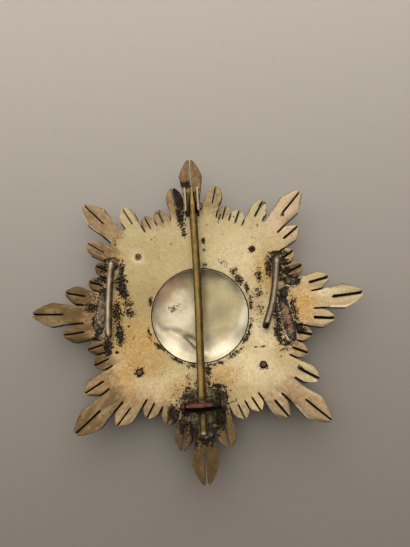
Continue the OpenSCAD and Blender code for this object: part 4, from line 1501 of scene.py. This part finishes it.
class BREASTSTAR_OT_stage(bpy.types.Operator):
    """Builds the floor, the lights and the camera"""
    bl_idname = "breast_star.stage"
    bl_label = "Stage"

    # The photograph's viewpoint: distance and aim in mm, angles in degrees
    distance = 124.1
    tilt, pan, roll = 17.65, 1.70, 3.95
    aim = (1.70, 10.22)
    focal_pixels = 450
    long_side_pixels = 547

    # Name: place and aim in metres, width and height, colour
    lamps = {
        "overhead_light": ((0.02, 0.13, 0.36), (0.02, 0.13, 0), (0.52, 0.58), (1.0, 0.97, 0.93)),
        "window_light": ((0.02, 0.42, 0.21), (0, 0, 0), (0.9, 0.28), (1.0, 0.98, 0.95)),
        "side_light": ((-0.42, 0.10, 0.30), (0, 0.10, 0), (0.3, 0.5), (1.0, 0.98, 0.95)),
    }
    floor_half = 1.5
    floor_grain = (0.2, 0.18, 0.15)
    bright_side = (0.30, 0.85, 0.42)
    room_colour = (1.0, 0.96, 0.90)

    def camera(self, context):
        data = bpy.data.cameras.new("camera")
        data.sensor_width = 36
        data.lens = self.focal_pixels * data.sensor_width / self.long_side_pixels
        data.clip_start, data.clip_end = 0.005, 10
        camera = bpy.data.objects.new("camera", data)
        context.scene.collection.objects.link(camera)
        roll = Matrix.Rotation(radians(-self.roll), 3, "Z")
        turn = roll @ Matrix.Rotation(radians(self.tilt), 3, "X") @ Matrix.Rotation(radians(self.pan), 3, "Y")
        place = roll @ Vector((*self.aim, 0)) + turn @ Vector((0, 0, self.distance))
        place += Vector((0, 0, in_mm(star().back)))
        camera.matrix_world = Matrix.Translation(place * MM) @ turn.to_4x4()
        context.scene.camera = camera

    def room(self, context, settings):
        """Light of a plain room that is brighter beyond the top ray and to the right."""
        world = bpy.data.worlds.new("room")
        world.use_nodes = True
        context.scene.world = world
        n = Nodes(world.node_tree, "Generated")
        inputs = {0: n.place, 1: Vector(self.bright_side).normalized()}
        facing = n.made("ShaderNodeVectorMath", inputs, "Value", operation="DOT_PRODUCT")
        sky = n.band(facing, -0.25, 0.95, settings.dusk, settings.sky)
        walls = n.band(n.part("Z", n.place), 0.7, 0.2, 0, settings.walls)
        background = world.node_tree.nodes["Background"]
        n.feed(background.inputs["Color"], self.room_colour)
        n.feed(background.inputs["Strength"], n.plus(sky, walls))

    def lamp(self, context, name, power):
        place, aim, size, colour = self.lamps[name]
        data = bpy.data.lights.new(name, "AREA")
        data.shape, data.size, data.size_y = "RECTANGLE", *size
        data.energy, data.color = power, colour
        lamp = bpy.data.objects.new(name, data)
        lamp.location = place
        lamp.rotation_euler = (Vector(aim) - Vector(place)).to_track_quat("-Z", "Y").to_euler()
        context.scene.collection.objects.link(lamp)

    def floor(self, context, settings):
        """Plain floor with painted shade that darkens it towards the viewer."""
        floor = bpy.data.meshes.new("floor")
        half = self.floor_half
        corners = ((-half, -half, 0), (half, -half, 0), (half, half, 0), (-half, half, 0))
        floor.from_pydata(corners, [], [(0, 1, 2, 3)])
        piece = bpy.data.objects.new("floor", floor)
        context.scene.collection.objects.link(piece)
        f = Finish("plain_floor", settings.floor)
        cloth = f.grain(1.2, 3)
        # Painted shade, darker towards the viewer
        f.lay(settings.floor_dim, f.band(f.part("Y", f.place), 0.13, -0.11))
        f.lay(self.floor_grain, f.band(cloth, 0.3, 0.7, 0, 0.04))
        floor.materials.append(f.finished(Roughness=0.75, Normal=f.bump(cloth, 0.01)))

    def execute(self, context):
        settings = context.scene.breast_star_stage
        self.floor(context, settings)
        self.room(context, settings)
        self.lamp(context, "overhead_light", settings.overhead_power)
        self.lamp(context, "window_light", settings.window_power)
        self.lamp(context, "side_light", settings.side_power)
        context.scene.view_settings.view_transform = "Standard"
        self.camera(context)
        return {"FINISHED"}


class BREASTSTAR_PT_panel(bpy.types.Panel):
    bl_idname = "BREASTSTAR_PT_panel"
    bl_label = "Breast Star"
    bl_space_type = "VIEW_3D"
    bl_region_type = "UI"
    bl_category = "Breast Star"

    def draw(self, context):
        for group in GROUPS:
            box = self.layout.box()
            settings = getattr(context.scene, group)
            for name in settings.__annotations__:
                box.prop(settings, name)
        for operator in OPERATORS:
            self.layout.operator(operator.bl_idname)


OPERATORS = (
    BREASTSTAR_OT_plate, BREASTSTAR_OT_dish, BREASTSTAR_OT_badge, BREASTSTAR_OT_rivets, BREASTSTAR_OT_hooks,
    BREASTSTAR_OT_solder, BREASTSTAR_OT_hinge, BREASTSTAR_OT_catch, BREASTSTAR_OT_pin, BREASTSTAR_OT_stage,
)
GROUPS = {
    "breast_star": StarSettings, "breast_star_dish": DishSettings,
    "breast_star_fittings": FittingSettings, "breast_star_stage": StageSettings,
}


def register():
    for name, group in GROUPS.items():
        bpy.utils.register_class(group)
        setattr(bpy.types.Scene, name, bpy.props.PointerProperty(type=group))
    for operator in OPERATORS:
        bpy.utils.register_class(operator)
    bpy.utils.register_class(BREASTSTAR_PT_panel)


def unregister():
    bpy.utils.unregister_class(BREASTSTAR_PT_panel)
    for operator in reversed(OPERATORS):
        bpy.utils.unregister_class(operator)
    for name, group in reversed(list(GROUPS.items())):
        delattr(bpy.types.Scene, name)
        bpy.utils.unregister_class(group)


def main():
    register()
    for operator in OPERATORS:
        group, name = operator.bl_idname.split(".")
        getattr(getattr(bpy.ops, group), name)()


if __name__ == "__main__":
    main()
